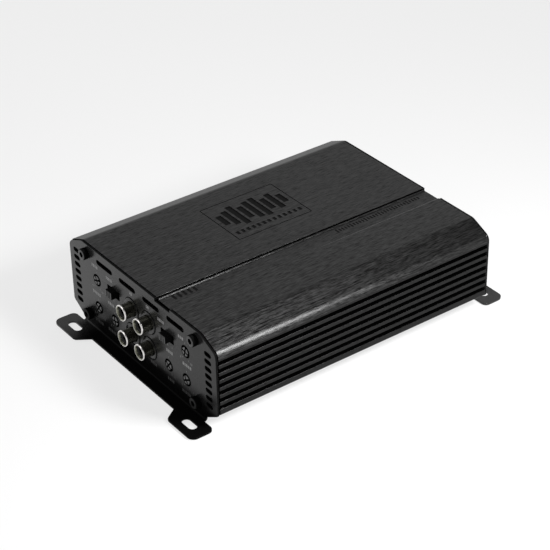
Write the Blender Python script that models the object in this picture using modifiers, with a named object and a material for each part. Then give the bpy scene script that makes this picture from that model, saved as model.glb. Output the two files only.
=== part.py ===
"""Compact four-channel car amplifier: a finned aluminium extrusion closed by two bent end panels.

Frame: +Z up, origin on the mounting plane under the tabs, midway between the panels.
-Y is the front (signal) panel, +Y is the rear (power) panel.
Every length is in millimetres and becomes metres where a mesh or a location is made.
"""
import math

import bmesh
import bpy
from mathutils import Matrix, Vector

MM = 0.001
GAP = 0.3                      # clearance between pieces that touch on the real object
ROUND = 20                     # sides of a turned piece

# extrusion
HALF_WIDTH = 60.0
HALF_LENGTH = 77.0
BODY_BOTTOM = 2.0
BODY_TOP = 45.9
SIDE_BOTTOM = 8.7
SIDE_TOP = 40.7
CHAMFER_RUN = 11.8             # width of the long top chamfers
SHOULDER_R = 4.0               # rounding between a top chamfer and the side
FOOT_RUN = 12.2                # width of the long bottom chamfers
WALL_INNER_X = 55.0
CEILING = 43.4
FIN_COUNT = 7
FIN_PITCH = 3.88
FIN_LOWEST = 12.7
FIN_GROOVE = 1.9
FIN_DEPTH = 3.0
FIN_EASE = 0.3
STRIP_LEFT = 13.2              # recessed strip along the top
STRIP_RIGHT = 24.8
STRIP_DEPTH = 0.9
STRIP_GROOVE = 0.7
BOSS_INNER = 41.2
BOSS_OUTER = 47.6
RIB_INNER = 43.0
RIB_OUTER = 46.0
RIB_BOTTOM = 19.0
BOSS_BOTTOM = 37.6
RAIL_TOP = 10.4                # top of the solid rail that holds the board
LEDGE_X = 40.6
CHAMFER_INNER = (42.9, 39.6)   # inner height of the top chamfer at the boss and at the wall
FOOT_INNER = (5.6, 9.6)        # the same for the bottom chamfer

# end panels, a sheet bent outwards at the bottom
SHEET = 1.0
BEND_RADIUS = 0.8
PANEL_GAP = 0.3                # between the extrusion and a panel
PANEL_HALF_WIDTH = 59.6
PANEL_TOP = 45.6
PANEL_SIDE_TOP = 40.5
PANEL_SIDE_BOTTOM = 8.0
PANEL_SHOULDER_X = 48.1
PANEL_FOOT_X = 50.2
PANEL_FOOT_Z = 2.3
NOTCH_Z = 44.1
FLANGE_DEPTH = 6.4
TAB_DEPTH = 13.2
TAB_OUTER_X = 58.3
TAB_INNER_X = 39.8
TAB_NECK_X = 34.6
TAB_INSET = 1.1                # free edge of a tab behind the bend
SLOT_X = 48.0
SLOT_DEPTH = 7.3               # slot centre in front of the panel's face
SLOT_LENGTH = 9.0
SLOT_WIDTH = 4.2
BEND_CUTS = 4

# panel openings
VENT_X = 53.6
VENT_TOP = 37.8
VENT_PITCH = 3.9
VENT_COUNT = 8
VENT_SIZE = (5.1, 2.4)
LOUVRE_Z = 40.4
LOUVRE_SPANS = ((2.9, 16.4), (22.2, 35.8))
LOUVRE_HEIGHT = 2.6

# case screws, M3 socket head
SCREW_X = 44.4
SCREW_HIGH_Z = 40.8
SCREW_LOW_Z = 7.6
SCREW_HOLE_R = 1.75
SCREW_SHANK_R = 1.4
SCREW_HEAD_R = 2.85
SCREW_HEAD_H = 2.5
REAR_HEAD_H = 1.5              # the rear screws have low heads
SCREW_LENGTH = 9.0
SCREW_HEX_R = 1.45
SCREW_HEX_DEPTH = 1.3
REAR_HEX_DEPTH = 0.9

# boards and covers
BOARD_HALF_WIDTH = 41.7
BOARD_BOTTOM = 6.3
BOARD_SHEET = 1.6
BOARD_TOP = BOARD_BOTTOM + BOARD_SHEET
BOARD_HALF_LENGTH = 76.4
BOARD_SLOT_X = 42.0
PREAMP_TOP = 23.1
PREAMP_HALF_WIDTH = 40.4
PREAMP_BACK = -38.0
PREAMP_NOTCH = 14.2
PREAMP_NOTCH_BACK = -62.0
COVER_HALF_WIDTH = 47.3
COVER_BOTTOM = 3.1
COVER_TOP = 4.2
LIP_X = 44.5

# front controls
LOW_ROW_Z = 14.6
HIGH_ROW_Z = 29.8
OUTER_X = 36.3
INNER_X = 22.2
KNOB_R = 2.5
KNOB_HOLE_R = 3.15
KNOB_STUB_R = 1.5
KNOB_PROUD = 0.3
KNOB_SLOT = (4.0, 0.95, 1.8)    # length, width, twice the depth
POT_HALF_WIDTH = 4.5
POT_FRONT = 2.6                # from the panel's face back to the potentiometer's front
POT_DEPTH = 6.4
POT_BORE_R = 1.85
POT_BORE_DEPTH = 3.9
POT_ABOVE_AXIS = 4.6
SWITCH_X = 22.1
SWITCH_Z = 30.3
SWITCH_HOLE = (10.2, 4.5)
LEVER = (5.0, 8.4, 3.7)        # width, length along Y, height
LEVER_PROUD = 2.9
SWITCH_ABOVE_LEVER = 3.6       # top of the switch's frame above the lever's middle
SWITCH_POCKET_DEPTH = 4.2
SWITCH_HALF_WIDTH = 7.0
SWITCH_DEPTH = 7.0

# RCA jacks
JACK_X = 6.9
JACK_LOW_Z = 15.5
JACK_HIGH_Z = 29.4
JACK_PROUD = 6.0
JACK_R = 4.1                    # lip at the mouth
JACK_LIP = 1.2                  # length of the lip
JACK_BARREL_R = 3.6
JACK_BORE_R = 2.8
JACK_MOUTH_R = 3.35
JACK_COLLAR_R = 5.55
JACK_COLLAR_PROUD = 0.4
JACK_HOLE_R = 5.85
JACK_LENGTH = 14.0
CORE_R = 2.5
CORE_HOLE_R = 1.6
JACK_BLOCK = (27.6, 11.5)      # width and depth along Y
JACK_BLOCK_TOP = 37.2

# rear connectors
TERMINAL_X = 22.0
TERMINAL_PITCH = 11.6
TERMINAL_HALF_WIDTH = 18.0
TERMINAL_TOP = 20.5
TERMINAL_PROUD = 7.0
TERMINAL_DEPTH = 17.0
TERMINAL_ENTRY_Z = 12.9
TERMINAL_ENTRY_R = 3.2
TERMINAL_ENTRY_DEPTH = 10.0
TERMINAL_WELL_DEPTH = 6.0
TERMINAL_WELL_R = 2.6
TERMINAL_SCREW_R = 2.25
TERMINAL_HEX_DEPTH = 2.0
TERMINAL_SCREW_BEHIND_FRONT = 3.9
FUSE_X = 22.0
FUSE_ZS = (26.5, 34.0)
FUSE_SIZE = (19.2, 5.1)
FUSE_PROUD = 5.0
FUSE_SEAT = 7.0
FUSE_BLADE = (5.2, 0.7, 7.0)   # width, thickness, length
FUSE_BLADE_X = 5.5
FUSE_SHOULDER = 1.0
HOLDER_HALF_WIDTH = 11.6
HOLDER_BOTTOM = 23.6
HOLDER_TOP = 37.4
HOLDER_DEPTH = 17.0
HOLDER_POCKET_DEPTH = 15.2
SOCKET_X = -20.0
SOCKET_HALF_WIDTH = 15.0
SOCKET_BOTTOM = 8.3
SOCKET_TOP = 24.3
SOCKET_WALL = 1.5
SOCKET_DEPTH = 13.0
PLUG_PROUD = 7.5
PLUG_SEAT = 9.5
PLUG_WIRE_PITCH = 6.2
PLUG_WIRE_HOLE = 3.4
PLUG_HOLE_DEPTH = 4.0
LIGHT_X = -20.0
LIGHT_Z = 32.5
LIGHT_R = 1.5

# parts on the main board
CORE_CENTRE = (-16.0, 26.0)
CORE_ABOVE_BOARD = 8.2
CORE_MAJOR_R = 11.5
CORE_MINOR_R = 4.2
WINDING_TURNS = 12
WINDING_STEPS = 8              # points in each turn
WINDING_SPAN = 330             # degrees of the core that the winding covers
WINDING_WIRE_R = 0.75
CAPACITOR_R = 6.2
CAPACITOR_HEIGHT = 26.0
CAPACITOR_Y = 44.0
CAPACITOR_XS = (14.0, 29.0)
INDUCTOR_SIZE = (16.0, 16.0, 10.0)
INDUCTOR_PLACE = (20.0, 14.0)
TRANSISTOR_SIZE = (4.4, 10.0, 15.0)
TRANSISTOR_LIFT = 1.5          # body's lower edge above the lower edge of the rib
TRANSISTOR_YS = (-14.0, 12.0)
LEG_SIZE = (0.6, 1.0)
LEG_PITCH = 2.54
HEADER_PLACE = (-22.0, PREAMP_BACK - 4)
HEADER_BODY = (30.0, 2.5, 2.5)
HEADER_PIN = 0.8
INSULATOR_SHEET = 0.5

FRONT_FACE = -(HALF_LENGTH + PANEL_GAP + SHEET)   # y of the front panel's outer face
REAR_FACE = -FRONT_FACE

TO_FRONT = Matrix.Rotation(math.radians(90), 4, "X")    # local +Z faces the front, -Y
TO_REAR = Matrix.Rotation(math.radians(180), 4, "Z") @ TO_FRONT
UPRIGHT = Matrix.Identity(4)


# ---------------------------------------------------------------- scene and materials

def clear_scene():
    for obj in list(bpy.data.objects):
        bpy.data.objects.remove(obj)


def new_collection(name):
    collection = bpy.data.collections.new(name)
    bpy.context.scene.collection.children.link(collection)
    return collection


def finish(name, colour, roughness, metallic=0.0):
    material = bpy.data.materials.new(name)
    material.use_nodes = True
    shader = material.node_tree.nodes["Principled BSDF"]
    shader.inputs["Base Color"].default_value = (*colour, 1.0)
    shader.inputs["Roughness"].default_value = roughness
    shader.inputs["Metallic"].default_value = metallic
    return material


def add(name, mesh, material, centre=(0, 0, 0), turn=UPRIGHT):
    """Puts a mesh in the amplifier's collection, at a place in millimetres."""
    obj = bpy.data.objects.new(name, mesh)
    parts.objects.link(obj)
    obj.matrix_world = Matrix.Translation(Vector(centre) * MM) @ turn
    if material and not mesh.materials:
        mesh.materials.append(material)
    return obj


def add_cutter(name, mesh, centre=(0, 0, 0), turn=UPRIGHT):
    obj = bpy.data.objects.new(name, mesh)
    cutters.objects.link(obj)
    obj.matrix_world = Matrix.Translation(Vector(centre) * MM) @ turn
    obj.hide_render = True
    obj.display_type = "WIRE"
    return obj


# ---------------------------------------------------------------- meshes

def block_mesh(name, *boxes):
    """One mesh with a separate box for each (size, centre)."""
    bm = bmesh.new()
    for size, centre in boxes:
        place = Matrix.Translation(Vector(centre) * MM) @ Matrix.Diagonal((*(Vector(size) * MM), 1))
        bmesh.ops.create_cube(bm, size=1, matrix=place)
    mesh = bpy.data.meshes.new(name)
    bm.to_mesh(mesh)
    bm.free()
    return mesh


def rod_mesh(name, radius, length, places, sides=ROUND, phase=0.0):
    """One mesh with a rod along local Z, centred on each place."""
    bm = bmesh.new()
    spin = Matrix.Rotation(phase, 4, "Z")
    for place in places:
        bmesh.ops.create_cone(bm, cap_ends=True, segments=sides, radius1=radius * MM, radius2=radius * MM,
                              depth=length * MM, matrix=Matrix.Translation(Vector(place) * MM) @ spin)
    mesh = bpy.data.meshes.new(name)
    bm.to_mesh(mesh)
    bm.free()
    return mesh


def evaluated_mesh(obj, name):
    """The object's mesh with its modifiers applied, or a curve's mesh with its caps welded."""
    bpy.context.view_layer.update()
    mesh = bpy.data.meshes.new_from_object(obj.evaluated_get(bpy.context.evaluated_depsgraph_get()))
    mesh.name = name
    bm = bmesh.new()
    bm.from_mesh(mesh)
    bmesh.ops.remove_doubles(bm, verts=bm.verts, dist=0.00001)
    bm.to_mesh(mesh)
    bm.free()
    return mesh


def sheet_mesh(name, loops, thickness):
    """A flat outline with holes, in local XY, thick along local Z and centred on it."""
    curve = bpy.data.curves.new(name, "CURVE")
    curve.dimensions = "2D"
    curve.fill_mode = "BOTH"
    curve.extrude = thickness / 2 * MM
    for loop in loops:
        spline = curve.splines.new("POLY")
        spline.points.add(len(loop) - 1)
        for point, (x, y) in zip(spline.points, loop):
            point.co = (x * MM, y * MM, 0, 1)
        spline.use_cyclic_u = True
    outline = bpy.data.objects.new(name, curve)
    cutters.objects.link(outline)
    mesh = evaluated_mesh(outline, name)
    bpy.data.objects.remove(outline)
    bpy.data.curves.remove(curve)
    return mesh


def turned_mesh(name, profile, closed=False, sides=ROUND):
    """A profile of (radius, height) turned about local Z. It runs down its outer side, top to bottom."""
    bm = bmesh.new()
    verts = [bm.verts.new((r * MM, 0, h * MM)) for r, h in profile]
    for a, b in zip(verts, verts[1:]):
        bm.edges.new((a, b))
    if closed:
        bm.edges.new((verts[-1], verts[0]))
    line = bpy.data.meshes.new(name + "_profile")
    bm.to_mesh(line)
    bm.free()
    obj = bpy.data.objects.new(name + "_profile", line)
    cutters.objects.link(obj)
    screw = obj.modifiers.new("turn", "SCREW")
    screw.steps = screw.render_steps = sides
    screw.use_merge_vertices = True
    screw.merge_threshold = 0.00001
    mesh = evaluated_mesh(obj, name)
    bpy.data.objects.remove(obj)
    return mesh


def cut(obj, tool, operation="DIFFERENCE"):
    modifier = obj.modifiers.new(tool.name, "BOOLEAN")
    modifier.operation = operation
    modifier.object = tool


def ease(obj, width, segments=1):
    bevel = obj.modifiers.new("eased_edges", "BEVEL")
    bevel.width = width * MM
    bevel.segments = segments
    bevel.limit_method = "ANGLE"


def bake(obj):
    """Applies the modifiers, so that copies can share the finished mesh."""
    mesh = evaluated_mesh(obj, obj.name)
    obj.modifiers.clear()
    obj.data = mesh
    return mesh


def smooth(mesh):
    mesh.shade_smooth()
    mesh.set_sharp_from_angle(angle=math.radians(32))


# ---------------------------------------------------------------- outlines

def arc(centre, radius, start, end, steps):
    """Points of an arc, angles in degrees."""
    angles = [math.radians(start + (end - start) * i / steps) for i in range(steps + 1)]
    return [(centre[0] + radius * math.cos(a), centre[1] + radius * math.sin(a)) for a in angles]


def circle(centre, radius, sides=16):
    return arc(centre, radius, 0, 360 * (1 - 1 / sides), sides - 1)


def stadium(centre, length, width, steps=3):
    """A slot along X with round ends."""
    reach = (length - width) / 2
    right = arc((centre[0] + reach, centre[1]), width / 2, -90, 90, steps)
    left = arc((centre[0] - reach, centre[1]), width / 2, 90, 270, steps)
    return right + left


def rectangle(centre, width, height):
    x, y = centre
    return [(x - width / 2, y - height / 2), (x + width / 2, y - height / 2),
            (x + width / 2, y + height / 2), (x - width / 2, y + height / 2)]


def rounded(corners):
    """A closed outline from (x, y, radius) corners. A radius above 0 becomes an arc of short chords."""
    points = []
    for i, (x, y, radius) in enumerate(corners):
        here = Vector((x, y))
        if radius <= 0:
            points.append((x, y))
            continue
        to_last = (Vector(corners[i - 1][:2]) - here).normalized()
        to_next = (Vector(corners[(i + 1) % len(corners)][:2]) - here).normalized()
        half = to_last.angle(to_next) / 2
        centre = here + (to_last + to_next).normalized() * radius / math.sin(half)
        turn = math.pi - 2 * half
        steps = max(2, round(math.degrees(turn) / 15))
        first = here + to_last * radius / math.tan(half) - centre
        side = 1 if to_last.cross(to_next) < 0 else -1
        for k in range(steps + 1):
            angle = side * turn * k / steps
            spoke = Matrix.Rotation(angle, 2) @ first
            points.append((centre.x + spoke.x, centre.y + spoke.y))
    return points


def mirrored(corners):
    """The same corners on the other side of x = 0, in reverse order."""
    return [(-corner[0], *corner[1:]) for corner in reversed(corners)]


# ---------------------------------------------------------------- case

def fin_corners():
    """The right side of the extrusion, from bottom to top, with its horizontal grooves."""
    corners = []
    for i in range(FIN_COUNT):
        z = FIN_LOWEST + i * FIN_PITCH
        low, high = z - FIN_GROOVE / 2, z + FIN_GROOVE / 2
        corners += [(HALF_WIDTH, low - FIN_EASE, 0), (HALF_WIDTH - FIN_EASE, low, 0),
                    (HALF_WIDTH - FIN_DEPTH, low, 0), (HALF_WIDTH - FIN_DEPTH, high, 0),
                    (HALF_WIDTH - FIN_EASE, high, 0), (HALF_WIDTH, high + FIN_EASE, 0)]
    return corners


def outer_side():
    foot = [(HALF_WIDTH - FOOT_RUN, BODY_BOTTOM, 0.6), (HALF_WIDTH, SIDE_BOTTOM, 1.0)]
    shoulder = [(HALF_WIDTH, SIDE_TOP, SHOULDER_R), (HALF_WIDTH - CHAMFER_RUN, BODY_TOP, 6.0)]
    return foot + fin_corners() + shoulder


def top_strip():
    """The recessed strip, from right to left, with a shadow groove along its left edge."""
    floor = BODY_TOP - STRIP_DEPTH
    return [(STRIP_RIGHT, BODY_TOP, 0), (STRIP_RIGHT, floor, 0),
            (STRIP_LEFT + STRIP_GROOVE, floor, 0), (STRIP_LEFT + STRIP_GROOVE, floor - STRIP_GROOVE, 0),
            (STRIP_LEFT, floor - STRIP_GROOVE, 0), (STRIP_LEFT, BODY_TOP, 0)]


def inner_side():
    """The right half of the cavity, from the ceiling down to the cover's lip."""
    rib = [(BOSS_INNER, CEILING, 0.8), (BOSS_INNER, BOSS_BOTTOM, 0), (RIB_INNER, BOSS_BOTTOM, 0),
           (RIB_INNER, RIB_BOTTOM, 0), (RIB_OUTER, RIB_BOTTOM, 0), (RIB_OUTER, BOSS_BOTTOM, 0),
           (BOSS_OUTER, BOSS_BOTTOM, 0)]
    pocket = [(BOSS_OUTER, CHAMFER_INNER[0], 0), (WALL_INNER_X, CHAMFER_INNER[1], 1.0),
              (WALL_INNER_X, FOOT_INNER[1], 1.0), (BOSS_OUTER, FOOT_INNER[0], 0)]
    board_slot = [(BOSS_OUTER, RAIL_TOP, 0), (BOSS_INNER, RAIL_TOP, 0), (BOSS_INNER, BOARD_TOP + GAP, 0),
                  (BOARD_SLOT_X, BOARD_TOP + GAP, 0), (BOARD_SLOT_X, BOARD_BOTTOM - GAP, 0),
                  (LEDGE_X, BOARD_BOTTOM - GAP, 0), (LEDGE_X, COVER_TOP + GAP, 0)]
    slot_x = COVER_HALF_WIDTH + GAP
    cover_slot = [(slot_x, COVER_TOP + GAP, 0), (slot_x, COVER_BOTTOM - GAP, 0),
                  (LIP_X, COVER_BOTTOM - GAP, 0), (LIP_X, BODY_BOTTOM, 0)]
    return rib + pocket + board_slot + cover_slot


def make_housing():
    outer = outer_side() + top_strip() + mirrored(outer_side())
    inner = mirrored(inner_side()) + inner_side()
    holes = [circle((x, z), SCREW_HOLE_R, 12)
             for x in (-SCREW_X, SCREW_X) for z in (SCREW_LOW_Z, SCREW_HIGH_Z)]
    mesh = sheet_mesh("heatsink_housing", [rounded(outer + inner)] + holes, 2 * HALF_LENGTH)
    smooth(mesh)
    add("heatsink_housing", mesh, black_anodised, turn=TO_FRONT)


def make_cover_and_boards():
    cover = ((2 * COVER_HALF_WIDTH, 2 * (HALF_LENGTH - GAP), COVER_TOP - COVER_BOTTOM), (0, 0, 0))
    cover_place = (0, 0, (COVER_TOP + COVER_BOTTOM) / 2)
    add("bottom_cover", block_mesh("bottom_cover", cover), bare_aluminium, cover_place)
    insulator = ((2 * LEDGE_X - 0.8, 2 * BOARD_HALF_LENGTH - 4, INSULATOR_SHEET), (0, 0, 0))
    insulator_place = (0, 0, COVER_TOP + GAP + INSULATOR_SHEET / 2)
    add("insulator_sheet", block_mesh("insulator_sheet", insulator), clear_film, insulator_place)
    board = ((2 * BOARD_HALF_WIDTH, 2 * BOARD_HALF_LENGTH, BOARD_SHEET), (0, 0, 0))
    add("main_board", block_mesh("main_board", board), board_green, (0, 0, BOARD_BOTTOM + BOARD_SHEET / 2))


def make_preamp_board():
    front, w, n = -BOARD_HALF_LENGTH + 2, PREAMP_HALF_WIDTH, PREAMP_NOTCH
    outline = [(-w, front), (-n, front), (-n, PREAMP_NOTCH_BACK), (n, PREAMP_NOTCH_BACK), (n, front),
               (w, front), (w, PREAMP_BACK), (-w, PREAMP_BACK)]
    mesh = sheet_mesh("preamp_board", [outline], BOARD_SHEET)
    add("preamp_board", mesh, board_green, (0, 0, PREAMP_TOP - BOARD_SHEET / 2))


def make_board_header():
    """A row of pins that carries the preamp board above the main board."""
    low, high = BOARD_TOP + GAP, PREAMP_TOP - BOARD_SHEET - GAP
    place = (*HEADER_PLACE, (low + high) / 2)
    header = add("board_header", block_mesh("board_header", (HEADER_BODY, (0, 0, 0))), black_plastic, place)
    pins = [((HEADER_PIN, HEADER_PIN, high - low), (x, 0, 0)) for x in range(-13, 14, 3)]
    cut(header, add_cutter("header_pins", block_mesh("header_pins", *pins), place), "UNION")


# ---------------------------------------------------------------- end panels

BEND_ARC = math.pi / 2 * (BEND_RADIUS + SHEET / 2)    # sheet used up by the bend, along its middle
BEND_TOP = SHEET + BEND_RADIUS                        # height where the panel becomes straight


def up(z):
    """Place of a height on the flat sheet, measured from the top of the bend."""
    return z - BEND_TOP


def out(depth):
    """Place of a depth in front of the panel's face on the flat sheet."""
    return -(BEND_ARC + depth - BEND_RADIUS)


def panel_outline(notch_side):
    """The flat sheet before bending. The notch clears the extrusion's strip."""
    side = [(PANEL_FOOT_X, up(PANEL_FOOT_Z), 0), (PANEL_HALF_WIDTH, up(PANEL_SIDE_BOTTOM), 1.5),
            (PANEL_HALF_WIDTH, up(PANEL_SIDE_TOP), SHOULDER_R), (PANEL_SHOULDER_X, up(PANEL_TOP), 6.0)]
    tab = [(TAB_NECK_X, out(FLANGE_DEPTH), 0.8), (TAB_INNER_X - 0.6, out(TAB_DEPTH), 2.5),
           (TAB_OUTER_X, out(TAB_DEPTH), 3.6), (TAB_OUTER_X, out(TAB_INSET), 2.8),
           (PANEL_FOOT_X, out(TAB_INSET), 0)]
    near, far = STRIP_LEFT - 0.2, STRIP_RIGHT + 0.2
    top, floor = up(PANEL_TOP), up(NOTCH_Z)
    notch = [(far, top, 0), (far, floor, 0), (near, floor, 0), (near, top, 0)]
    if notch_side < 0:
        notch = mirrored(notch)
    return rounded(tab + side + notch + mirrored(side) + mirrored(tab))


def common_holes():
    """Vents, louvres, screw holes and mounting slots, which both panels share."""
    holes = []
    for side in (-1, 1):
        for i in range(VENT_COUNT):
            holes.append(stadium((side * VENT_X, up(VENT_TOP - i * VENT_PITCH)), *VENT_SIZE, 2))
        for near, far in LOUVRE_SPANS:
            holes.append(stadium((side * (near + far) / 2, up(LOUVRE_Z)), far - near, LOUVRE_HEIGHT))
        holes += [circle((side * SCREW_X, up(z)), SCREW_HOLE_R, 12) for z in (SCREW_LOW_Z, SCREW_HIGH_Z)]
        holes.append(stadium((side * SLOT_X, out(SLOT_DEPTH)), SLOT_LENGTH, SLOT_WIDTH, 6))
    return holes


def front_holes():
    holes = [circle((x, up(z)), KNOB_HOLE_R) for x, z in knob_places().values()]
    holes += [circle((x, up(z)), JACK_HOLE_R, ROUND) for x, z in jack_places()]
    return holes + [rectangle((side * SWITCH_X, up(SWITCH_Z)), *SWITCH_HOLE) for side in (-1, 1)]


def rear_holes():
    """Openings of the rear panel. Local x runs against world x there."""
    def opening(x, low, high, half_width):
        return rectangle((-x, up((low + high) / 2)), 2 * half_width + 2 * GAP, high - low + 2 * GAP)
    return [opening(TERMINAL_X, BOARD_TOP + GAP, TERMINAL_TOP, TERMINAL_HALF_WIDTH),
            opening(FUSE_X, HOLDER_BOTTOM, HOLDER_TOP, HOLDER_HALF_WIDTH),
            opening(SOCKET_X, SOCKET_BOTTOM, SOCKET_TOP, SOCKET_HALF_WIDTH),
            circle((-LIGHT_X, up(LIGHT_Z)), LIGHT_R + GAP, 16)]


def bent(point):
    """Moves a point of the flat sheet (x, along, through) to its place on the bent panel, face at y = 0."""
    x, along, through = point
    half = SHEET / 2 * MM
    middle = (BEND_RADIUS + SHEET / 2) * MM
    top, arc_length = BEND_TOP * MM, BEND_ARC * MM
    if along >= 0:
        return Vector((x, half - through, top + along))
    if along < -arc_length:
        return Vector((x, -BEND_RADIUS * MM + along + arc_length, half + through))
    angle, radius = -along / middle, middle - through
    return Vector((x, -BEND_RADIUS * MM + radius * math.cos(angle), top - radius * math.sin(angle)))


def make_panel(name, notch_side, holes, y, turn):
    mesh = sheet_mesh(name, [panel_outline(notch_side)] + common_holes() + holes, SHEET)
    bm = bmesh.new()
    bm.from_mesh(mesh)
    for i in range(BEND_CUTS + 1):
        line = Vector((0, -BEND_ARC * MM * i / BEND_CUTS, 0))
        bmesh.ops.bisect_plane(bm, geom=bm.verts[:] + bm.edges[:] + bm.faces[:], dist=1e-7,
                               plane_co=line, plane_no=(0, 1, 0))
    for vert in bm.verts:
        vert.co = bent(vert.co)
    bm.to_mesh(mesh)
    bm.free()
    smooth(mesh)
    add(name, mesh, panel_paint, (0, y, 0), turn)


def make_panels():
    make_panel("front_panel", 1, front_holes(), FRONT_FACE, UPRIGHT)
    make_panel("rear_panel", -1, rear_holes(), REAR_FACE, Matrix.Rotation(math.pi, 4, "Z"))


def case_screw_mesh(name, head_height, hexagon_depth):
    top, edge = head_height + GAP, 0.35
    point_r, point = SCREW_SHANK_R - 0.5, -SCREW_LENGTH
    profile = [(0, top), (SCREW_HEAD_R - edge, top), (SCREW_HEAD_R, top - edge), (SCREW_HEAD_R, GAP),
               (SCREW_SHANK_R, GAP), (SCREW_SHANK_R, point + 0.5), (point_r, point), (0, point)]
    blank = add(name, turned_mesh(name, profile, sides=14), None)
    hexagon = rod_mesh(name + "_hexagon", SCREW_HEX_R, 2 * hexagon_depth, [(0, 0, top)], sides=6)
    cut(blank, add_cutter(name + "_hexagon", hexagon))
    mesh = bake(blank)
    smooth(mesh)
    bpy.data.objects.remove(blank)
    return mesh


def make_case_screws():
    front = case_screw_mesh("front_case_screw", SCREW_HEAD_H, SCREW_HEX_DEPTH)
    rear = case_screw_mesh("rear_case_screw", REAR_HEAD_H, REAR_HEX_DEPTH)
    for end, mesh, y, turn in (("front", front, FRONT_FACE, TO_FRONT), ("rear", rear, REAR_FACE, TO_REAR)):
        for side, x in (("left", -SCREW_X), ("right", SCREW_X)):
            for row, z in (("upper", SCREW_HIGH_Z), ("lower", SCREW_LOW_Z)):
                add(f"{end}_screw_{row}_{side}", mesh, screw_black, (x, y, z), turn)


# ---------------------------------------------------------------- front controls

def knob_places():
    """Name of each trim control to its (x, z)."""
    places = {}
    for side, sign in (("left", -1), ("right", 1)):
        places[side + "_filter"] = (sign * OUTER_X, HIGH_ROW_Z)
        places[side + "_level"] = (sign * OUTER_X, LOW_ROW_Z)
        places[side + "_bass"] = (sign * INNER_X, LOW_ROW_Z)
    return places


def jack_places():
    return [(x, z) for z in (JACK_HIGH_Z, JACK_LOW_Z) for x in (-JACK_X, JACK_X)]


def knob_mesh():
    """A slotted trim knob with its face up and its stub down. Local z = 0 is the panel's face."""
    face, shoulder, tip, edge = KNOB_PROUD, -POT_FRONT + GAP, -POT_FRONT - 3.4, 0.3
    profile = [(0, face), (KNOB_R - edge, face), (KNOB_R, face - edge), (KNOB_R, shoulder),
               (KNOB_STUB_R, shoulder), (KNOB_STUB_R, tip), (0, tip)]
    knob = add("knob", turned_mesh("knob", profile), None)
    length, width, deep = KNOB_SLOT
    for name, size in (("slot_long", (length, width, deep)), ("slot_short", (width, length, deep))):
        cut(knob, add_cutter(name, block_mesh(name, (size, (0, 0, face)))))
    mesh = bake(knob)
    smooth(mesh)
    bpy.data.objects.remove(knob)
    return mesh


def pot_mesh():
    """A potentiometer body with its front on local z = 0 and its axis on local Z."""
    foot = LOW_ROW_Z - BOARD_TOP - GAP
    size = (2 * POT_HALF_WIDTH, foot + POT_ABOVE_AXIS, POT_DEPTH)
    body = add("pot", block_mesh("pot", (size, (0, (POT_ABOVE_AXIS - foot) / 2, -POT_DEPTH / 2))), None)
    ease(body, 0.4)
    cut(body, add_cutter("pot_bore", rod_mesh("pot_bore", POT_BORE_R, 2 * POT_BORE_DEPTH, [(0, 0, 0)])))
    mesh = bake(body)
    bpy.data.objects.remove(body)
    return mesh


def make_trim_controls():
    knob, pot = knob_mesh(), pot_mesh()
    for name, (x, z) in knob_places().items():
        add(name + "_knob", knob, knob_grey, (x, FRONT_FACE, z), TO_FRONT)
        add(name + "_pot", pot, black_plastic, (x, FRONT_FACE + POT_FRONT, z), TO_FRONT)


def make_switches():
    width, length, height = LEVER
    lever_block = ((width, height, length), (0, 0, LEVER_PROUD - length / 2))
    lever = add("lever", block_mesh("lever", lever_block), None)
    ease(lever, 0.35)
    lever_shape = bake(lever)
    foot = SWITCH_Z - PREAMP_TOP - GAP
    head = SWITCH_ABOVE_LEVER
    size = (2 * SWITCH_HALF_WIDTH, foot + head, SWITCH_DEPTH)
    frame_block = (size, (0, (head - foot) / 2, -POT_FRONT - SWITCH_DEPTH / 2))
    frame = add("frame", block_mesh("frame", frame_block), None)
    pocket = block_mesh("switch_pocket", ((*SWITCH_HOLE, 2 * SWITCH_POCKET_DEPTH), (0, 0, -POT_FRONT)))
    cut(frame, add_cutter("switch_pocket", pocket))
    frame_shape = bake(frame)
    bpy.data.objects.remove(lever)
    bpy.data.objects.remove(frame)
    for side, x in (("left", -SWITCH_X), ("right", SWITCH_X)):
        add(side + "_switch_lever", lever_shape, lever_black, (x, FRONT_FACE, SWITCH_Z), TO_FRONT)
        add(side + "_switch_body", frame_shape, switch_metal, (x, FRONT_FACE, SWITCH_Z), TO_FRONT)


def make_jack_block():
    low, high = BOARD_TOP + GAP, JACK_BLOCK_TOP
    width, depth = JACK_BLOCK
    back_of_sheet = SHEET + 0.5
    size = (width, high - low, depth)
    shape = block_mesh("jack_block", (size, (0, (high + low) / 2, -back_of_sheet - depth / 2)))
    block = add("jack_block", shape, black_plastic, (0, FRONT_FACE, 0), TO_FRONT)
    collar_length = JACK_COLLAR_PROUD + back_of_sheet + 4
    collars = [(x, z, JACK_COLLAR_PROUD - collar_length / 2) for x, z in jack_places()]
    bores = [(x, z, 0) for x, z in jack_places()]
    collar_tool = rod_mesh("collars", JACK_COLLAR_R, collar_length, collars)
    bore_tool = rod_mesh("jack_bores", JACK_BARREL_R + GAP, 60, bores)
    cut(block, add_cutter("collars", collar_tool, (0, FRONT_FACE, 0), TO_FRONT), "UNION")
    cut(block, add_cutter("jack_bores", bore_tool, (0, FRONT_FACE, 0), TO_FRONT))


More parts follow.
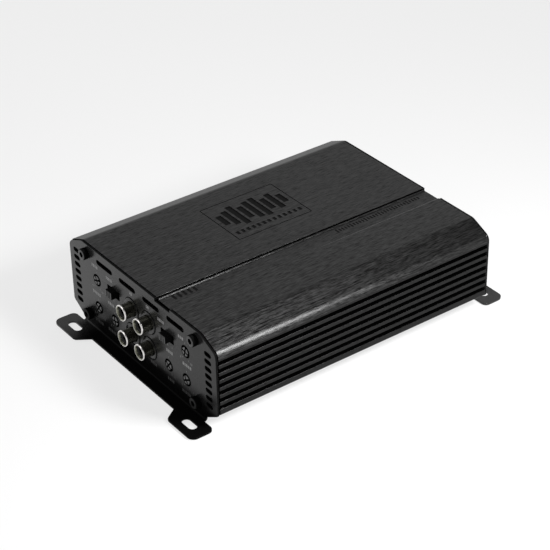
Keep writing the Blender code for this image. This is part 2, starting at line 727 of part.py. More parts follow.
def make_jacks():
    """RCA jacks: a metal shell with a lip at its mouth, and a core with the centre hole."""
    lip = JACK_PROUD - JACK_LIP
    tail = JACK_PROUD - JACK_LENGTH
    shell = [(JACK_MOUTH_R, JACK_PROUD), (JACK_R - 0.35, JACK_PROUD), (JACK_R, JACK_PROUD - 0.35),
             (JACK_R, lip), (JACK_BARREL_R, lip), (JACK_BARREL_R, tail), (JACK_BORE_R, tail),
             (JACK_BORE_R, JACK_PROUD - 0.9)]
    core = [(0, -2.0), (CORE_HOLE_R, -2.0), (CORE_HOLE_R, JACK_PROUD - 1.3), (CORE_R, JACK_PROUD - 1.3),
            (CORE_R, tail - 1), (0, tail - 1)]
    shell_shape = turned_mesh("jack_shell", shell, closed=True)
    core_shape = turned_mesh("jack_core", core, sides=16)
    smooth(shell_shape)
    smooth(core_shape)
    labels = ("upper_left", "upper_right", "lower_left", "lower_right")
    for label, (x, z) in zip(labels, jack_places()):
        add("jack_shell_" + label, shell_shape, nickel, (x, FRONT_FACE, z), TO_FRONT)
        add("jack_core_" + label, core_shape, black_plastic, (x, FRONT_FACE, z), TO_FRONT)


# ---------------------------------------------------------------- rear connectors

def terminal_places():
    return [TERMINAL_X + i * TERMINAL_PITCH for i in (-1, 0, 1)]


def make_power_terminals():
    low = BOARD_TOP + GAP
    front = REAR_FACE + TERMINAL_PROUD
    size = (2 * TERMINAL_HALF_WIDTH, TERMINAL_DEPTH, TERMINAL_TOP - low)
    centre = (TERMINAL_X, front - TERMINAL_DEPTH / 2, (TERMINAL_TOP + low) / 2)
    block = block_mesh("power_terminal_block", (size, (0, 0, 0)))
    block = add("power_terminal_block", block, terminal_black, centre)
    ease(block, 0.5)
    screw_y = front - TERMINAL_SCREW_BEHIND_FRONT
    mouths = [(x, TERMINAL_ENTRY_Z, 0) for x in terminal_places()]
    entries = rod_mesh("wire_entries", TERMINAL_ENTRY_R, 2 * TERMINAL_ENTRY_DEPTH, mouths)
    cut(block, add_cutter("wire_entries", entries, (0, front, 0), TO_FRONT))
    tops = [(x, screw_y, TERMINAL_TOP) for x in terminal_places()]
    wells = rod_mesh("screw_wells", TERMINAL_WELL_R, 2 * TERMINAL_WELL_DEPTH, tops)
    cut(block, add_cutter("screw_wells", wells))
    make_terminal_screws(screw_y)


def make_terminal_screws(y):
    top, bottom = TERMINAL_TOP - 0.4, TERMINAL_ENTRY_Z + TERMINAL_ENTRY_R + 0.4
    height = top - bottom
    profile = [(0, height / 2), (TERMINAL_SCREW_R - 0.3, height / 2), (TERMINAL_SCREW_R, height / 2 - 0.3),
               (TERMINAL_SCREW_R, -height / 2), (0, -height / 2)]
    blank = add("terminal_screw", turned_mesh("terminal_screw", profile), None)
    hexagon = rod_mesh("terminal_hexagon", SCREW_HEX_R, 2 * TERMINAL_HEX_DEPTH, [(0, 0, height / 2)], sides=6)
    cut(blank, add_cutter("terminal_hexagon", hexagon))
    mesh = bake(blank)
    smooth(mesh)
    bpy.data.objects.remove(blank)
    for name, x in zip(("ground", "remote", "battery"), terminal_places()):
        add(name + "_clamp_screw", mesh, nickel, (x, y, (top + bottom) / 2))


def fuse_mesh():
    """A blade fuse. Its head is up and its blades down along local Z, z = 0 at the holder's face."""
    width, thickness = FUSE_SIZE
    seat, base = -FUSE_SEAT, width / 2 - FUSE_SHOULDER
    low, step = 0.4, 0.8
    outline = [(-width / 2, low, 0), (-width / 2, FUSE_PROUD, 0.8), (width / 2, FUSE_PROUD, 0.8),
               (width / 2, low, 0), (base, low + step, 0), (base, seat, 0), (-base, seat, 0),
               (-base, low + step, 0)]
    body = add("fuse", sheet_mesh("fuse", [rounded(outline)], thickness), None)
    blade_width, blade_thickness, blade_length = FUSE_BLADE
    blades = [((blade_width, blade_length + 1, blade_thickness), (x, seat - (blade_length - 1) / 2, 0))
              for x in (-FUSE_BLADE_X, FUSE_BLADE_X)]
    cut(body, add_cutter("fuse_blades", block_mesh("fuse_blades", *blades)), "UNION")
    mesh = bake(body)
    mesh.transform(TO_FRONT)
    bpy.data.objects.remove(body)
    return mesh


def make_fuses():
    face = REAR_FACE + GAP
    size = (2 * HOLDER_HALF_WIDTH, HOLDER_DEPTH, HOLDER_TOP - HOLDER_BOTTOM)
    centre = (FUSE_X, face - HOLDER_DEPTH / 2, (HOLDER_TOP + HOLDER_BOTTOM) / 2)
    holder = add("fuse_holder", block_mesh("fuse_holder", (size, (0, 0, 0))), black_plastic, centre)
    width, thickness = FUSE_SIZE
    pocket = (width + 0.8, 2 * HOLDER_POCKET_DEPTH, thickness + 0.7)
    pockets = [(pocket, (FUSE_X, face, z)) for z in FUSE_ZS]
    cut(holder, add_cutter("fuse_pockets", block_mesh("fuse_pockets", *pockets)))
    mesh = fuse_mesh()
    flat = Matrix.Rotation(math.radians(-90), 4, "X")
    for name, z in zip(("lower_fuse", "upper_fuse"), FUSE_ZS):
        add(name, mesh, fuse_yellow, (FUSE_X, face, z), flat)


def make_speaker_connector():
    face = REAR_FACE + GAP
    height = SOCKET_TOP - SOCKET_BOTTOM
    middle = (SOCKET_TOP + SOCKET_BOTTOM) / 2
    place = (SOCKET_X, face, middle)
    width = 2 * SOCKET_HALF_WIDTH
    socket_block = ((width, SOCKET_DEPTH, height), (0, -SOCKET_DEPTH / 2, 0))
    socket = add("speaker_socket", block_mesh("speaker_socket", socket_block), black_plastic, place)
    hollow_width, hollow_height = width - 2 * SOCKET_WALL, height - 2 * SOCKET_WALL
    hollow = ((hollow_width, 2 * (SOCKET_DEPTH - SOCKET_WALL), hollow_height), (0, 0, 0))
    cut(socket, add_cutter("socket_hollow", block_mesh("socket_hollow", hollow), place))
    plug_size = (hollow_width - 2 * GAP, PLUG_PROUD + PLUG_SEAT, hollow_height - 2 * GAP)
    plug_block = (plug_size, (0, (PLUG_PROUD - PLUG_SEAT) / 2, 0))
    plug = add("speaker_plug", block_mesh("speaker_plug", plug_block), plug_grey, place)
    ease(plug, 0.5)
    hole = (PLUG_WIRE_HOLE, 2 * PLUG_HOLE_DEPTH, PLUG_WIRE_HOLE)
    holes = [(hole, (x * PLUG_WIRE_PITCH, PLUG_PROUD, z * PLUG_WIRE_PITCH))
             for x in (-1.5, -0.5, 0.5, 1.5) for z in (-0.5, 0.5)]
    cut(plug, add_cutter("plug_wire_holes", block_mesh("plug_wire_holes", *holes), place))


def make_status_light():
    collar_r, collar, back = 2.0, -1.6, -6.0
    profile = [(0, 1.6), (0.8, 1.35), (1.3, 0.8), (LIGHT_R, 0), (LIGHT_R, collar), (collar_r, collar),
               (collar_r, back), (0, back)]
    mesh = turned_mesh("status_light", profile, sides=12)
    smooth(mesh)
    add("status_light", mesh, light_lens, (LIGHT_X, REAR_FACE, LIGHT_Z), TO_REAR)


# ---------------------------------------------------------------- inside parts

def make_transformer():
    centre = (*CORE_CENTRE, BOARD_TOP + CORE_ABOVE_BOARD)
    bpy.ops.mesh.primitive_torus_add(major_radius=CORE_MAJOR_R * MM, minor_radius=CORE_MINOR_R * MM,
                                     major_segments=24, minor_segments=8)
    core = bpy.context.object
    mesh = core.data
    mesh.name = "transformer_core"
    bpy.data.objects.remove(core)
    smooth(mesh)
    add("transformer_core", mesh, ferrite, centre)
    winding = wire_mesh("transformer_winding", winding_points(), WINDING_WIRE_R)
    add("transformer_winding", winding, copper, centre)


def winding_points():
    """A wire wound round the ring core, from one end of its span to the other."""
    orbit = CORE_MINOR_R + WINDING_WIRE_R + GAP
    count = WINDING_TURNS * WINDING_STEPS
    points = []
    for i in range(count + 1):
        around = math.radians(WINDING_SPAN) * i / count
        small = 2 * math.pi * i / WINDING_STEPS
        reach = CORE_MAJOR_R + orbit * math.cos(small)
        points.append((reach * math.cos(around), reach * math.sin(around), orbit * math.sin(small)))
    return points


def wire_mesh(name, points, radius):
    curve = bpy.data.curves.new(name, "CURVE")
    curve.dimensions = "3D"
    curve.bevel_depth = radius * MM
    curve.bevel_resolution = 0
    curve.use_fill_caps = True
    spline = curve.splines.new("POLY")
    spline.points.add(len(points) - 1)
    for target, point in zip(spline.points, points):
        target.co = (*(Vector(point) * MM), 1)
    path = bpy.data.objects.new(name, curve)
    cutters.objects.link(path)
    mesh = evaluated_mesh(path, name)
    bpy.data.objects.remove(path)
    bpy.data.curves.remove(curve)
    smooth(mesh)
    return mesh


def make_capacitors():
    radius, height = CAPACITOR_R, CAPACITOR_HEIGHT
    profile = [(0, height), (radius - 0.8, height), (radius, height - 0.8), (radius, 3.4),
               (radius - 0.5, 2.8), (radius, 2.2), (radius, 0), (0, 0)]
    mesh = turned_mesh("capacitor", profile)
    smooth(mesh)
    for name, x in zip(("left_capacitor", "right_capacitor"), CAPACITOR_XS):
        add(name, mesh, sleeve_black, (x, CAPACITOR_Y, BOARD_TOP + GAP))


def make_inductor():
    block = (INDUCTOR_SIZE, (0, 0, INDUCTOR_SIZE[2] / 2))
    place = (*INDUCTOR_PLACE, BOARD_TOP + GAP)
    coil = add("output_inductor", block_mesh("output_inductor", block), ferrite, place)
    ease(coil, 1.2, 2)


def transistor_mesh():
    """A flat power transistor standing on its legs. Local z = 0 is the board's side, tab towards +X."""
    lift = RIB_BOTTOM + TRANSISTOR_LIFT - BOARD_TOP - GAP
    block = (TRANSISTOR_SIZE, (0, 0, lift + TRANSISTOR_SIZE[2] / 2))
    body = add("transistor", block_mesh("transistor", block), None)
    leg = (*LEG_SIZE, lift + 1)
    legs = [(leg, (0.2, y, (lift + 1) / 2)) for y in (-LEG_PITCH, 0, LEG_PITCH)]
    cut(body, add_cutter("transistor_legs", block_mesh("transistor_legs", *legs)), "UNION")
    mesh = bake(body)
    bpy.data.objects.remove(body)
    return mesh


def make_transistors():
    mesh = transistor_mesh()
    x = RIB_INNER - GAP - TRANSISTOR_SIZE[0] / 2
    for side, sign in (("left", -1), ("right", 1)):
        for end, y in zip(("front", "rear"), TRANSISTOR_YS):
            turn = UPRIGHT if sign > 0 else Matrix.Rotation(math.pi, 4, "Z")
            add(f"{side}_{end}_transistor", mesh, epoxy_black, (sign * x, y, BOARD_TOP + GAP), turn)


clear_scene()
parts = new_collection("car_amplifier")
cutters = new_collection("cutters")
cutters.hide_render = True

black_anodised = finish("black_anodised", (0.035, 0.035, 0.037), 0.38, 0.8)
bare_aluminium = finish("bare_aluminium", (0.55, 0.55, 0.56), 0.35, 1.0)
panel_paint = finish("panel_paint", (0.06, 0.06, 0.062), 0.5)
screw_black = finish("screw_black", (0.015, 0.015, 0.016), 0.4, 0.6)
knob_grey = finish("knob_grey", (0.12, 0.12, 0.12), 0.45)
black_plastic = finish("black_plastic", (0.012, 0.012, 0.012), 0.5)
lever_black = finish("lever_black", (0.01, 0.01, 0.01), 0.42)
switch_metal = finish("switch_metal", (0.3, 0.3, 0.31), 0.4, 1.0)
nickel = finish("nickel", (0.72, 0.7, 0.66), 0.18, 1.0)
clear_film = finish("clear_film", (0.75, 0.74, 0.68), 0.35)
board_green = finish("board_green", (0.02, 0.13, 0.05), 0.4)
terminal_black = finish("terminal_black", (0.014, 0.014, 0.015), 0.45)
fuse_yellow = finish("fuse_yellow", (0.85, 0.55, 0.02), 0.25)
plug_grey = finish("plug_grey", (0.02, 0.02, 0.022), 0.45)
light_lens = finish("light_lens", (0.05, 0.3, 0.8), 0.15)
ferrite = finish("ferrite", (0.05, 0.05, 0.055), 0.6)
copper = finish("copper", (0.7, 0.28, 0.12), 0.3, 1.0)
sleeve_black = finish("sleeve_black", (0.015, 0.017, 0.025), 0.35)
epoxy_black = finish("epoxy_black", (0.02, 0.02, 0.02), 0.55)

make_housing()
make_cover_and_boards()
make_preamp_board()
make_board_header()
make_panels()
make_case_screws()
make_trim_controls()
make_switches()
make_jack_block()
make_jacks()
make_power_terminals()
make_fuses()
make_speaker_connector()
make_status_light()
make_transformer()
make_capacitors()
make_inductor()
make_transistors()
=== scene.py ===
"""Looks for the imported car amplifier: fine meshes and node materials around its CAD frame.

Frame as in the CAD: +Z up, -Y is the signal panel, +Y the power panel. Lengths here are in millimetres.
"""
import math

import bmesh
import bpy
from mathutils import Matrix, Vector


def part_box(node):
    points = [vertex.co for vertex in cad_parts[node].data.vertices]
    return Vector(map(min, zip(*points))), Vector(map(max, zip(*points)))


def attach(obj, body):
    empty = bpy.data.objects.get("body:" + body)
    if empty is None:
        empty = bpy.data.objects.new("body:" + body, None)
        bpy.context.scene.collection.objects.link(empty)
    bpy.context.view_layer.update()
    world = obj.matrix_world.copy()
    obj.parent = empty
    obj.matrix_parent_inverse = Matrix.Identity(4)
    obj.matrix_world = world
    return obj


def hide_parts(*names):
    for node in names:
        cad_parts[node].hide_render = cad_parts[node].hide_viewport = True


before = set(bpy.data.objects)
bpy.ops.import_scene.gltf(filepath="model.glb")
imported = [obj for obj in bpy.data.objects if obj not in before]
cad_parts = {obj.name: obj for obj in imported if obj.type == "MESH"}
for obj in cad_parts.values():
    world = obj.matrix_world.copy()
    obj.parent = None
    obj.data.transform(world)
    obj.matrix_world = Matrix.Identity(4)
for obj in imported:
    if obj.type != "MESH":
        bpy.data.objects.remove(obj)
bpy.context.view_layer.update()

MM = 0.001
ALONG_Y = Matrix.Rotation(math.radians(90), 4, "X")  # local +Z faces the front, -Y
ALONG_REAR = Matrix.Rotation(math.pi, 4, "Z") @ ALONG_Y  # local +Z faces the rear, +Y
LEVEL = Matrix.Identity(4)


def box_of(node):
    """The low and high corners of a CAD node's box."""
    return [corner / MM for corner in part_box(node)]


housing_low, housing_high = box_of("heatsink_housing")
HALF_WIDTH = housing_high.x
HALF_LENGTH = housing_high.y
BODY_BOTTOM = housing_low.z
BODY_TOP = housing_high.z
SHEET = 1.0  # thickness of the end panels
PANEL_GAP = 0.3
FACE = HALF_LENGTH + PANEL_GAP + SHEET  # distance of a panel's outer face from y = 0


# ---- meshes

def shift(place):
    return Matrix.Translation(Vector(place) * MM)


def arc(centre, radius, start, end, steps):
    angles = [math.radians(start + (end - start) * i / steps) for i in range(steps + 1)]
    return [(centre[0] + radius * math.cos(a), centre[1] + radius * math.sin(a)) for a in angles]


def circle(centre, radius, sides=40):
    return arc(centre, radius, 0, 360 * (1 - 1 / sides), sides - 1)


def stadium(centre, length, width, steps=8):
    reach = (length - width) / 2
    right = arc((centre[0] + reach, centre[1]), width / 2, -90, 90, steps)
    left = arc((centre[0] - reach, centre[1]), width / 2, 90, 270, steps)
    return right + left


def box_loop(centre, width, height, radius=0.0):
    x, y = centre
    w, h = width / 2, height / 2
    corners = [(x - w, y - h, radius), (x + w, y - h, radius), (x + w, y + h, radius), (x - w, y + h, radius)]
    return rounded(corners)


def rounded(corners, chord=6):
    """A closed outline from (x, y, radius) corners, each radius an arc with a chord every few degrees."""
    points = []
    for i, (x, y, radius) in enumerate(corners):
        here = Vector((x, y))
        if radius <= 0:
            points.append((x, y))
            continue
        to_last = (Vector(corners[i - 1][:2]) - here).normalized()
        to_next = (Vector(corners[(i + 1) % len(corners)][:2]) - here).normalized()
        half = to_last.angle(to_next) / 2
        centre = here + (to_last + to_next).normalized() * radius / math.sin(half)
        turn = math.pi - 2 * half
        steps = max(2, round(math.degrees(turn) / chord))
        first = here + to_last * radius / math.tan(half) - centre
        side = 1 if to_last.cross(to_next) < 0 else -1
        for k in range(steps + 1):
            spoke = Matrix.Rotation(side * turn * k / steps, 2) @ first
            points.append((centre.x + spoke.x, centre.y + spoke.y))
    return points


def finished(bm, name):
    """Turns a working bmesh into a mesh of its own."""
    mesh = bpy.data.meshes.new(name)
    bm.to_mesh(mesh)
    bm.free()
    return mesh


def mirrored(corners):
    return [(-corner[0], *corner[1:]) for corner in reversed(corners)]


def linked(name, data):
    """A new object in the scene."""
    obj = bpy.data.objects.new(name, data)
    bpy.context.scene.collection.objects.link(obj)
    return obj


def evaluated(obj, name):
    """The mesh of an object after its modifiers."""
    bpy.context.view_layer.update()
    mesh = bpy.data.meshes.new_from_object(obj.evaluated_get(bpy.context.evaluated_depsgraph_get()))
    mesh.name = name
    return mesh


def welded(obj, name):
    mesh = evaluated(obj, name)
    bm = bmesh.new()
    bm.from_mesh(mesh)
    bmesh.ops.remove_doubles(bm, verts=bm.verts, dist=0.000001)
    bm.to_mesh(mesh)
    bm.free()
    return mesh


def from_curve(name, curve):
    obj = linked(name, curve)
    mesh = welded(obj, name)
    bpy.data.objects.remove(obj)
    bpy.data.curves.remove(curve)
    return mesh


def plate(name, loops, thickness, ease=0.0, steps=0):
    """A flat outline with holes in local XY, centred on local Z, with eased edges all round."""
    curve = bpy.data.curves.new(name, "CURVE")
    curve.dimensions = "2D"
    curve.fill_mode = "BOTH"
    curve.extrude = (thickness / 2 - ease) * MM
    curve.bevel_depth = ease * MM
    curve.bevel_resolution = steps
    curve.offset = -ease * MM
    for loop in loops:
        spline = curve.splines.new("POLY")
        spline.points.add(len(loop) - 1)
        for point, (x, y) in zip(spline.points, loop):
            point.co = (x * MM, y * MM, 0, 1)
        spline.use_cyclic_u = True
    return from_curve(name, curve)


def lathe(name, profile, sides=64, closed=False):
    """A profile of (radius, height) turned about local Z. It runs down its outer side, top to bottom."""
    bm = bmesh.new()
    rings = []
    turns = [2 * math.pi * k / sides for k in range(sides)]
    for r, h in profile:
        if r == 0:
            rings.append([bm.verts.new((0, 0, h * MM))] * sides)
        else:
            rings.append([bm.verts.new((r * MM * math.cos(a), r * MM * math.sin(a), h * MM)) for a in turns])
    pairs = list(zip(rings, rings[1:]))
    if closed:
        pairs.append((rings[-1], rings[0]))
    for upper, lower in pairs:
        for k in range(sides):
            n = (k + 1) % sides
            corners = dict.fromkeys((upper[k], lower[k], lower[n], upper[n]))
            bm.faces.new(list(corners))
    return finished(bm, name)


def blocks(name, *boxes):
    """One mesh with a separate box for each (size, centre)."""
    bm = bmesh.new()
    for size, centre in boxes:
        bmesh.ops.create_cube(bm, size=1, matrix=shift(centre) @ Matrix.Diagonal((*(Vector(size) * MM), 1)))
    return finished(bm, name)


def block_of(name, low, high):
    """A box between two corners."""
    return blocks(name, (high - low, (low + high) / 2))


def prisms(name, radius, length, places, sides=40, flare=0.0):
    """One mesh with an upright prism at each place, wider by flare at its top and narrower at its foot."""
    bm = bmesh.new()
    for place in places:
        bmesh.ops.create_cone(bm, cap_ends=True, segments=sides, radius1=(radius - flare) * MM,
                              radius2=(radius + flare) * MM, depth=length * MM, matrix=shift(place))
    return finished(bm, name)


def moved(mesh, place=(0, 0, 0), turn=LEVEL):
    mesh.transform(shift(place) @ turn)
    return mesh


def joined(name, meshes):
    bm = bmesh.new()
    for mesh in meshes:
        bm.from_mesh(mesh)
    return finished(bm, name)


def shaped(mesh, cuts=(), unions=(), ease=0.0, segments=2, look=None):
    """The mesh after Boolean cuts and unions, then a bevel on its sharp edges."""
    obj = linked("shaping", mesh)
    if look:
        mesh.materials.append(look)
    tools = []
    for operation, others in (("UNION", unions), ("DIFFERENCE", cuts)):
        for other in others:
            tool = linked("tool", other)
            modifier = obj.modifiers.new("boolean", "BOOLEAN")
            modifier.operation = operation
            modifier.object = tool
            modifier.solver = "EXACT"
            modifier.material_mode = "TRANSFER" if other.materials else "INDEX"
            tools.append(tool)
    if ease:
        bevel = obj.modifiers.new("ease", "BEVEL")
        bevel.width = ease * MM
        bevel.segments = segments
        bevel.limit_method = "ANGLE"
        bevel.angle_limit = math.radians(40)
    result = welded(obj, mesh.name)
    for extra in tools + [obj]:
        bpy.data.objects.remove(extra)
    return result


def smooth(mesh, degrees=35):
    mesh.shade_smooth()
    mesh.set_sharp_from_angle(angle=math.radians(degrees))
    return mesh


def trued(mesh, degrees):
    """Smooth shading in which large flat faces keep their true normals beside small rounded edges."""
    obj = linked("trueing", smooth(mesh, degrees))
    weigh = obj.modifiers.new("weigh", "WEIGHTED_NORMAL")
    weigh.weight = 100
    weigh.keep_sharp = True
    result = evaluated(obj, mesh.name)
    bpy.data.objects.remove(obj)
    return result


def painted(mesh, look):
    mesh.materials.append(look)
    return mesh


def repaint(mesh, look, chosen):
    """Gives one more material to the faces that chosen(centre in mm, normal) picks."""
    index = len(painted(mesh, look).materials) - 1
    for face in mesh.polygons:
        if chosen(face.center / MM, face.normal):
            face.material_index = index
    return mesh


def piece(name, mesh, look, node=None, body="case", place=(0, 0, 0), turn=LEVEL):
    """Puts a finished mesh in the scene, on a CAD body, in place of a CAD node if one is named."""
    if look and not mesh.materials:
        mesh.materials.append(look)
    obj = linked(name, mesh)
    obj.matrix_world = shift(place) @ turn
    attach(obj, body)
    if node:
        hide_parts(node)


# ---- materials

class Look:
    """One node material, built step by step around its Principled shader."""

    def __init__(self, name, **inputs):
        self.material = bpy.data.materials.new(name)
        self.material.use_nodes = True
        self.tree = self.material.node_tree
        self.shader = self.tree.nodes["Principled BSDF"]
        for key, value in inputs.items():
            self.shader.inputs[key.replace("_", " ")].default_value = value
        self.place = self.add("TexCoord").outputs["Object"]
        self.height = None

    def add(self, kind):
        return self.tree.nodes.new("ShaderNode" + kind)

    def link(self, output, name):
        self.tree.links.new(output, self.shader.inputs[name])

    def feed(self, node, name, value):
        if isinstance(value, bpy.types.NodeSocket):
            self.tree.links.new(value, node.inputs[name])
        else:
            node.inputs[name].default_value = value

    def noise(self, scale, detail=3.0, rough=0.55):
        """Noise over object space, scale in cycles per metre, one number or one for each axis."""
        mapping = self.add("Mapping")
        mapping.inputs["Scale"].default_value = scale if isinstance(scale, tuple) else (scale,) * 3
        self.tree.links.new(self.place, mapping.inputs["Vector"])
        node = self.add("TexNoise")
        node.inputs["Scale"].default_value = 1.0
        node.inputs["Detail"].default_value = detail
        node.inputs["Roughness"].default_value = rough
        self.tree.links.new(mapping.outputs["Vector"], node.inputs["Vector"])
        return node.outputs["Fac"]

    def axis(self, index):
        node = self.add("SeparateXYZ")
        self.tree.links.new(self.place, node.inputs[0])
        return node.outputs[index]

    def spread(self, value, low, high, to_low=0.0, to_high=1.0):
        node = self.add("MapRange")
        for name, number in (("From Min", low), ("From Max", high), ("To Min", to_low), ("To Max", to_high)):
            node.inputs[name].default_value = number
        self.tree.links.new(value, node.inputs["Value"])
        return node.outputs["Result"]

    def sum(self, operation, a, b):
        node = self.add("Math")
        node.operation = operation
        self.feed(node, 0, a)
        self.feed(node, 1, b)
        return node.outputs[0]

    def mix(self, factor, a, b):
        node = self.add("Mix")
        node.data_type = "RGBA"
        self.feed(node, 0, factor)
        for index, value in ((6, a), (7, b)):
            self.feed(node, index, (*value, 1.0) if isinstance(value, tuple) else value)
        return node.outputs[2]

    def colour(self, factor, dark, light):
        self.link(self.mix(factor, dark, light), "Base Color")

    def bump(self, value, strength, distance):
        node = self.add("Bump")
        node.inputs["Strength"].default_value = strength
        node.inputs["Distance"].default_value = distance * MM
        self.tree.links.new(value, node.inputs["Height"])
        if self.height is not None:
            self.tree.links.new(self.height, node.inputs["Normal"])
        self.height = node.outputs["Normal"]
        self.link(self.height, "Normal")

    def brushed(self):
        """Grain along world Y for the highlights."""
        node = self.add("CombineXYZ")
        node.inputs[1].default_value = 1.0
        self.link(node.outputs[0], "Tangent")


def grey(value, warmth=0.0):
    return (value * (1 + warmth), value, value * (1 - warmth))


def anodised_look():
    """Black anodised aluminium, brushed along the case: long streaks of uneven tone and gloss."""
    look = Look("black_anodised_brushed", Roughness=0.36, Metallic=0.1, Anisotropic=0.6,
                Anisotropic_Rotation=0.25)
    look.brushed()
    fine = look.noise((3200, 230, 3200), 2.0, 0.6)
    broad = look.noise((1900, 45, 1900), 2.0, 0.6)
    patch = look.noise((60, 9, 60), 2.0)
    streaks = look.sum("ADD", look.spread(fine, 0.36, 0.64, 0, 0.70),
                       look.spread(broad, 0.36, 0.64, 0, 0.30))
    tone = look.mix(streaks, grey(0.0005), grey(0.008))
    look.colour(look.spread(patch, 0.3, 0.7, 0, 0.35), tone, grey(0.002))
    look.link(look.spread(streaks, 0, 1, 0.28, 0.44), "Roughness")
    look.link(look.spread(streaks, 0, 1, 0.06, 0.53), "Specular IOR Level")
    look.bump(fine, 0.3, 0.03)
    return look.material


def dull_look(name, dark, light, gloss):
    """Near-black, dull looks: painted shade in engraved floors, groove walls and sheared edges, and dark
    plastic.
    """
    look = Look(name, Roughness=0.6, Specular_IOR_Level=gloss)
    speck = look.noise((4000, 700, 4000), 2.0)
    look.colour(speck, grey(dark), grey(light))
    look.link(look.spread(speck, 0.3, 0.7, 0.5, 0.7), "Roughness")
    look.bump(speck, 0.5, 0.02)
    return look.material


def strip_edge_look():
    """The strip's right edge: a painted highlight, paler to the rear, and painted shade, dark towards the
    front.
    """
    look = Look("strip_edge_painted_light", Roughness=0.4)
    # Painted highlight towards the rear and painted shade towards the front, set by position along the case.
    rear = look.spread(look.axis(1), -0.02, 0.03)
    speck = look.noise((3000, 200, 3000), 2.0)
    look.colour(rear, grey(0.0005), look.mix(speck, grey(0.02), grey(0.06)))
    look.link(look.spread(rear, 0, 1, 0.04, 0.4), "Specular IOR Level")
    look.bump(speck, 0.2, 0.02)
    return look.material


def coated_look():
    """The end panels' satin coating, with painted shade darkening its foot except at the far left, a painted
    sheen that fades across the sheet, and faint grain across the sheet.
    """
    look = Look("panel_coating", Roughness=0.24)
    grain = look.noise((450, 450, 1100), 3.0, 0.6)
    orange = look.noise(1500, 2.0)
    cloud = look.noise(22, 2.0)
    tone = look.mix(look.spread(grain, 0.3, 0.7), grey(0.008), grey(0.012))
    # Painted shade: the foot darkens, with a cloudy edge, except at the far left.
    foot = look.spread(look.sum("ADD", look.axis(2), look.spread(cloud, 0.3, 0.7, -0.0015, 0.0015)),
                       0.0075, 0.0160, 1.0, 0.0)
    foot = look.sum("MULTIPLY", foot, look.spread(look.axis(0), -0.052, -0.036))
    look.colour(foot, tone, grey(0.002))
    # Painted sheen: the gloss fades across the sheet and drops at the foot.
    across = look.spread(look.axis(0), -0.05, 0.05, 1.0, 0.5)
    sheen = look.sum("MULTIPLY", look.spread(foot, 0, 1, 0.36, 0.04), across)
    look.link(sheen, "Specular IOR Level")
    look.link(look.spread(cloud, 0.3, 0.7, 0.20, 0.30), "Roughness")
    look.bump(orange, 0.3, 0.02)
    look.bump(grain, 0.1, 0.01)
    return look.material


def plastic_look(name, dark, light, roughness, grain=1800, strength=0.35, **inputs):
    """Moulded plastic: fine spark-eroded grain, slight tone and gloss changes."""
    look = Look(name, Roughness=roughness, **inputs)
    fine = look.noise(grain, 2.0)
    cloud = look.noise(160, 3.0)
    look.colour(look.spread(cloud, 0.3, 0.7), dark, light)
    look.link(look.spread(cloud, 0.3, 0.7, roughness - 0.06, roughness + 0.08), "Roughness")
    look.bump(fine, strength, 0.015)
    return look.material


def metal_look(name, dark, light, roughness, scale=(300, 300, 4000), strength=0.15, metallic=1.0,
               gloss=0.5):
    """Metal with the fine marks of its making and a few smudges."""
    look = Look(name, Roughness=roughness, Metallic=metallic, Specular_IOR_Level=gloss)
    marks = look.noise(scale, 2.0, 0.6)
    smudge = look.noise(350, 3.0)
    look.colour(look.spread(smudge, 0.3, 0.7), dark, light)
    look.link(look.spread(smudge, 0.35, 0.7, roughness * 0.8, roughness * 1.5), "Roughness")
    look.bump(marks, strength, 0.01)
    return look.material


def barrel_look():
    """Plated barrel turned on a lathe: highlights run along it, and its dark olive tone in long streaks is a
    painted dark reflection.
    """
    look = Look("turned_barrel_nickel", Roughness=0.2, Metallic=1.0, Anisotropic=0.85)
    look.brushed()
    reflection_streaks = look.noise((900, 900, 120), 3.0, 0.6)
    look.colour(look.spread(reflection_streaks, 0.35, 0.65), (0.10, 0.10, 0.075), (0.34, 0.34, 0.28))
    look.link(look.spread(reflection_streaks, 0.3, 0.7, 0.16, 0.26), "Roughness")
    look.bump(look.noise((150, 150, 9000), 2.0), 0.15, 0.005)
    return look.material


def print_look():
    """Pale grey ink, with painted shade dimming it near the foot of the panel."""
    look = Look("screen_print", Roughness=0.6, Specular_IOR_Level=0.3)
    speck = look.noise(2500, 3.0)
    ink = look.mix(look.spread(speck, 0.35, 0.65), grey(0.15), grey(0.24))
    # Painted shade: between 20 and 8 mm up the ink fades to near-black.
    look.colour(look.spread(look.axis(2), 0.008, 0.020), grey(0.012), ink)
    look.bump(speck, 0.2, 0.01)
    return look.material


def board_look():
    """Solder resist with copper tracks showing through it."""
    look = Look("solder_resist", Roughness=0.3)
    brick = look.add("TexBrick")
    brick.inputs["Scale"].default_value = 120.0
    brick.inputs["Mortar Size"].default_value = 0.012
    look.tree.links.new(look.place, brick.inputs["Vector"])
    blotch = look.noise(250, 2.0)
    base = look.mix(blotch, (0.006, 0.05, 0.018), (0.012, 0.085, 0.03))
    look.colour(brick.outputs["Fac"], base, (0.03, 0.16, 0.06))
    look.bump(brick.outputs["Fac"], 0.4, 0.03)
    return look.material


def fuse_look():
    look = Look("fuse_plastic", Roughness=0.16, Transmission_Weight=0.35, IOR=1.5)
    cloud = look.noise(220, 2.0)
    look.colour(cloud, (0.82, 0.44, 0.01), (0.95, 0.62, 0.03))
    look.bump(look.noise(900, 2.0), 0.15, 0.02)
    return look.material


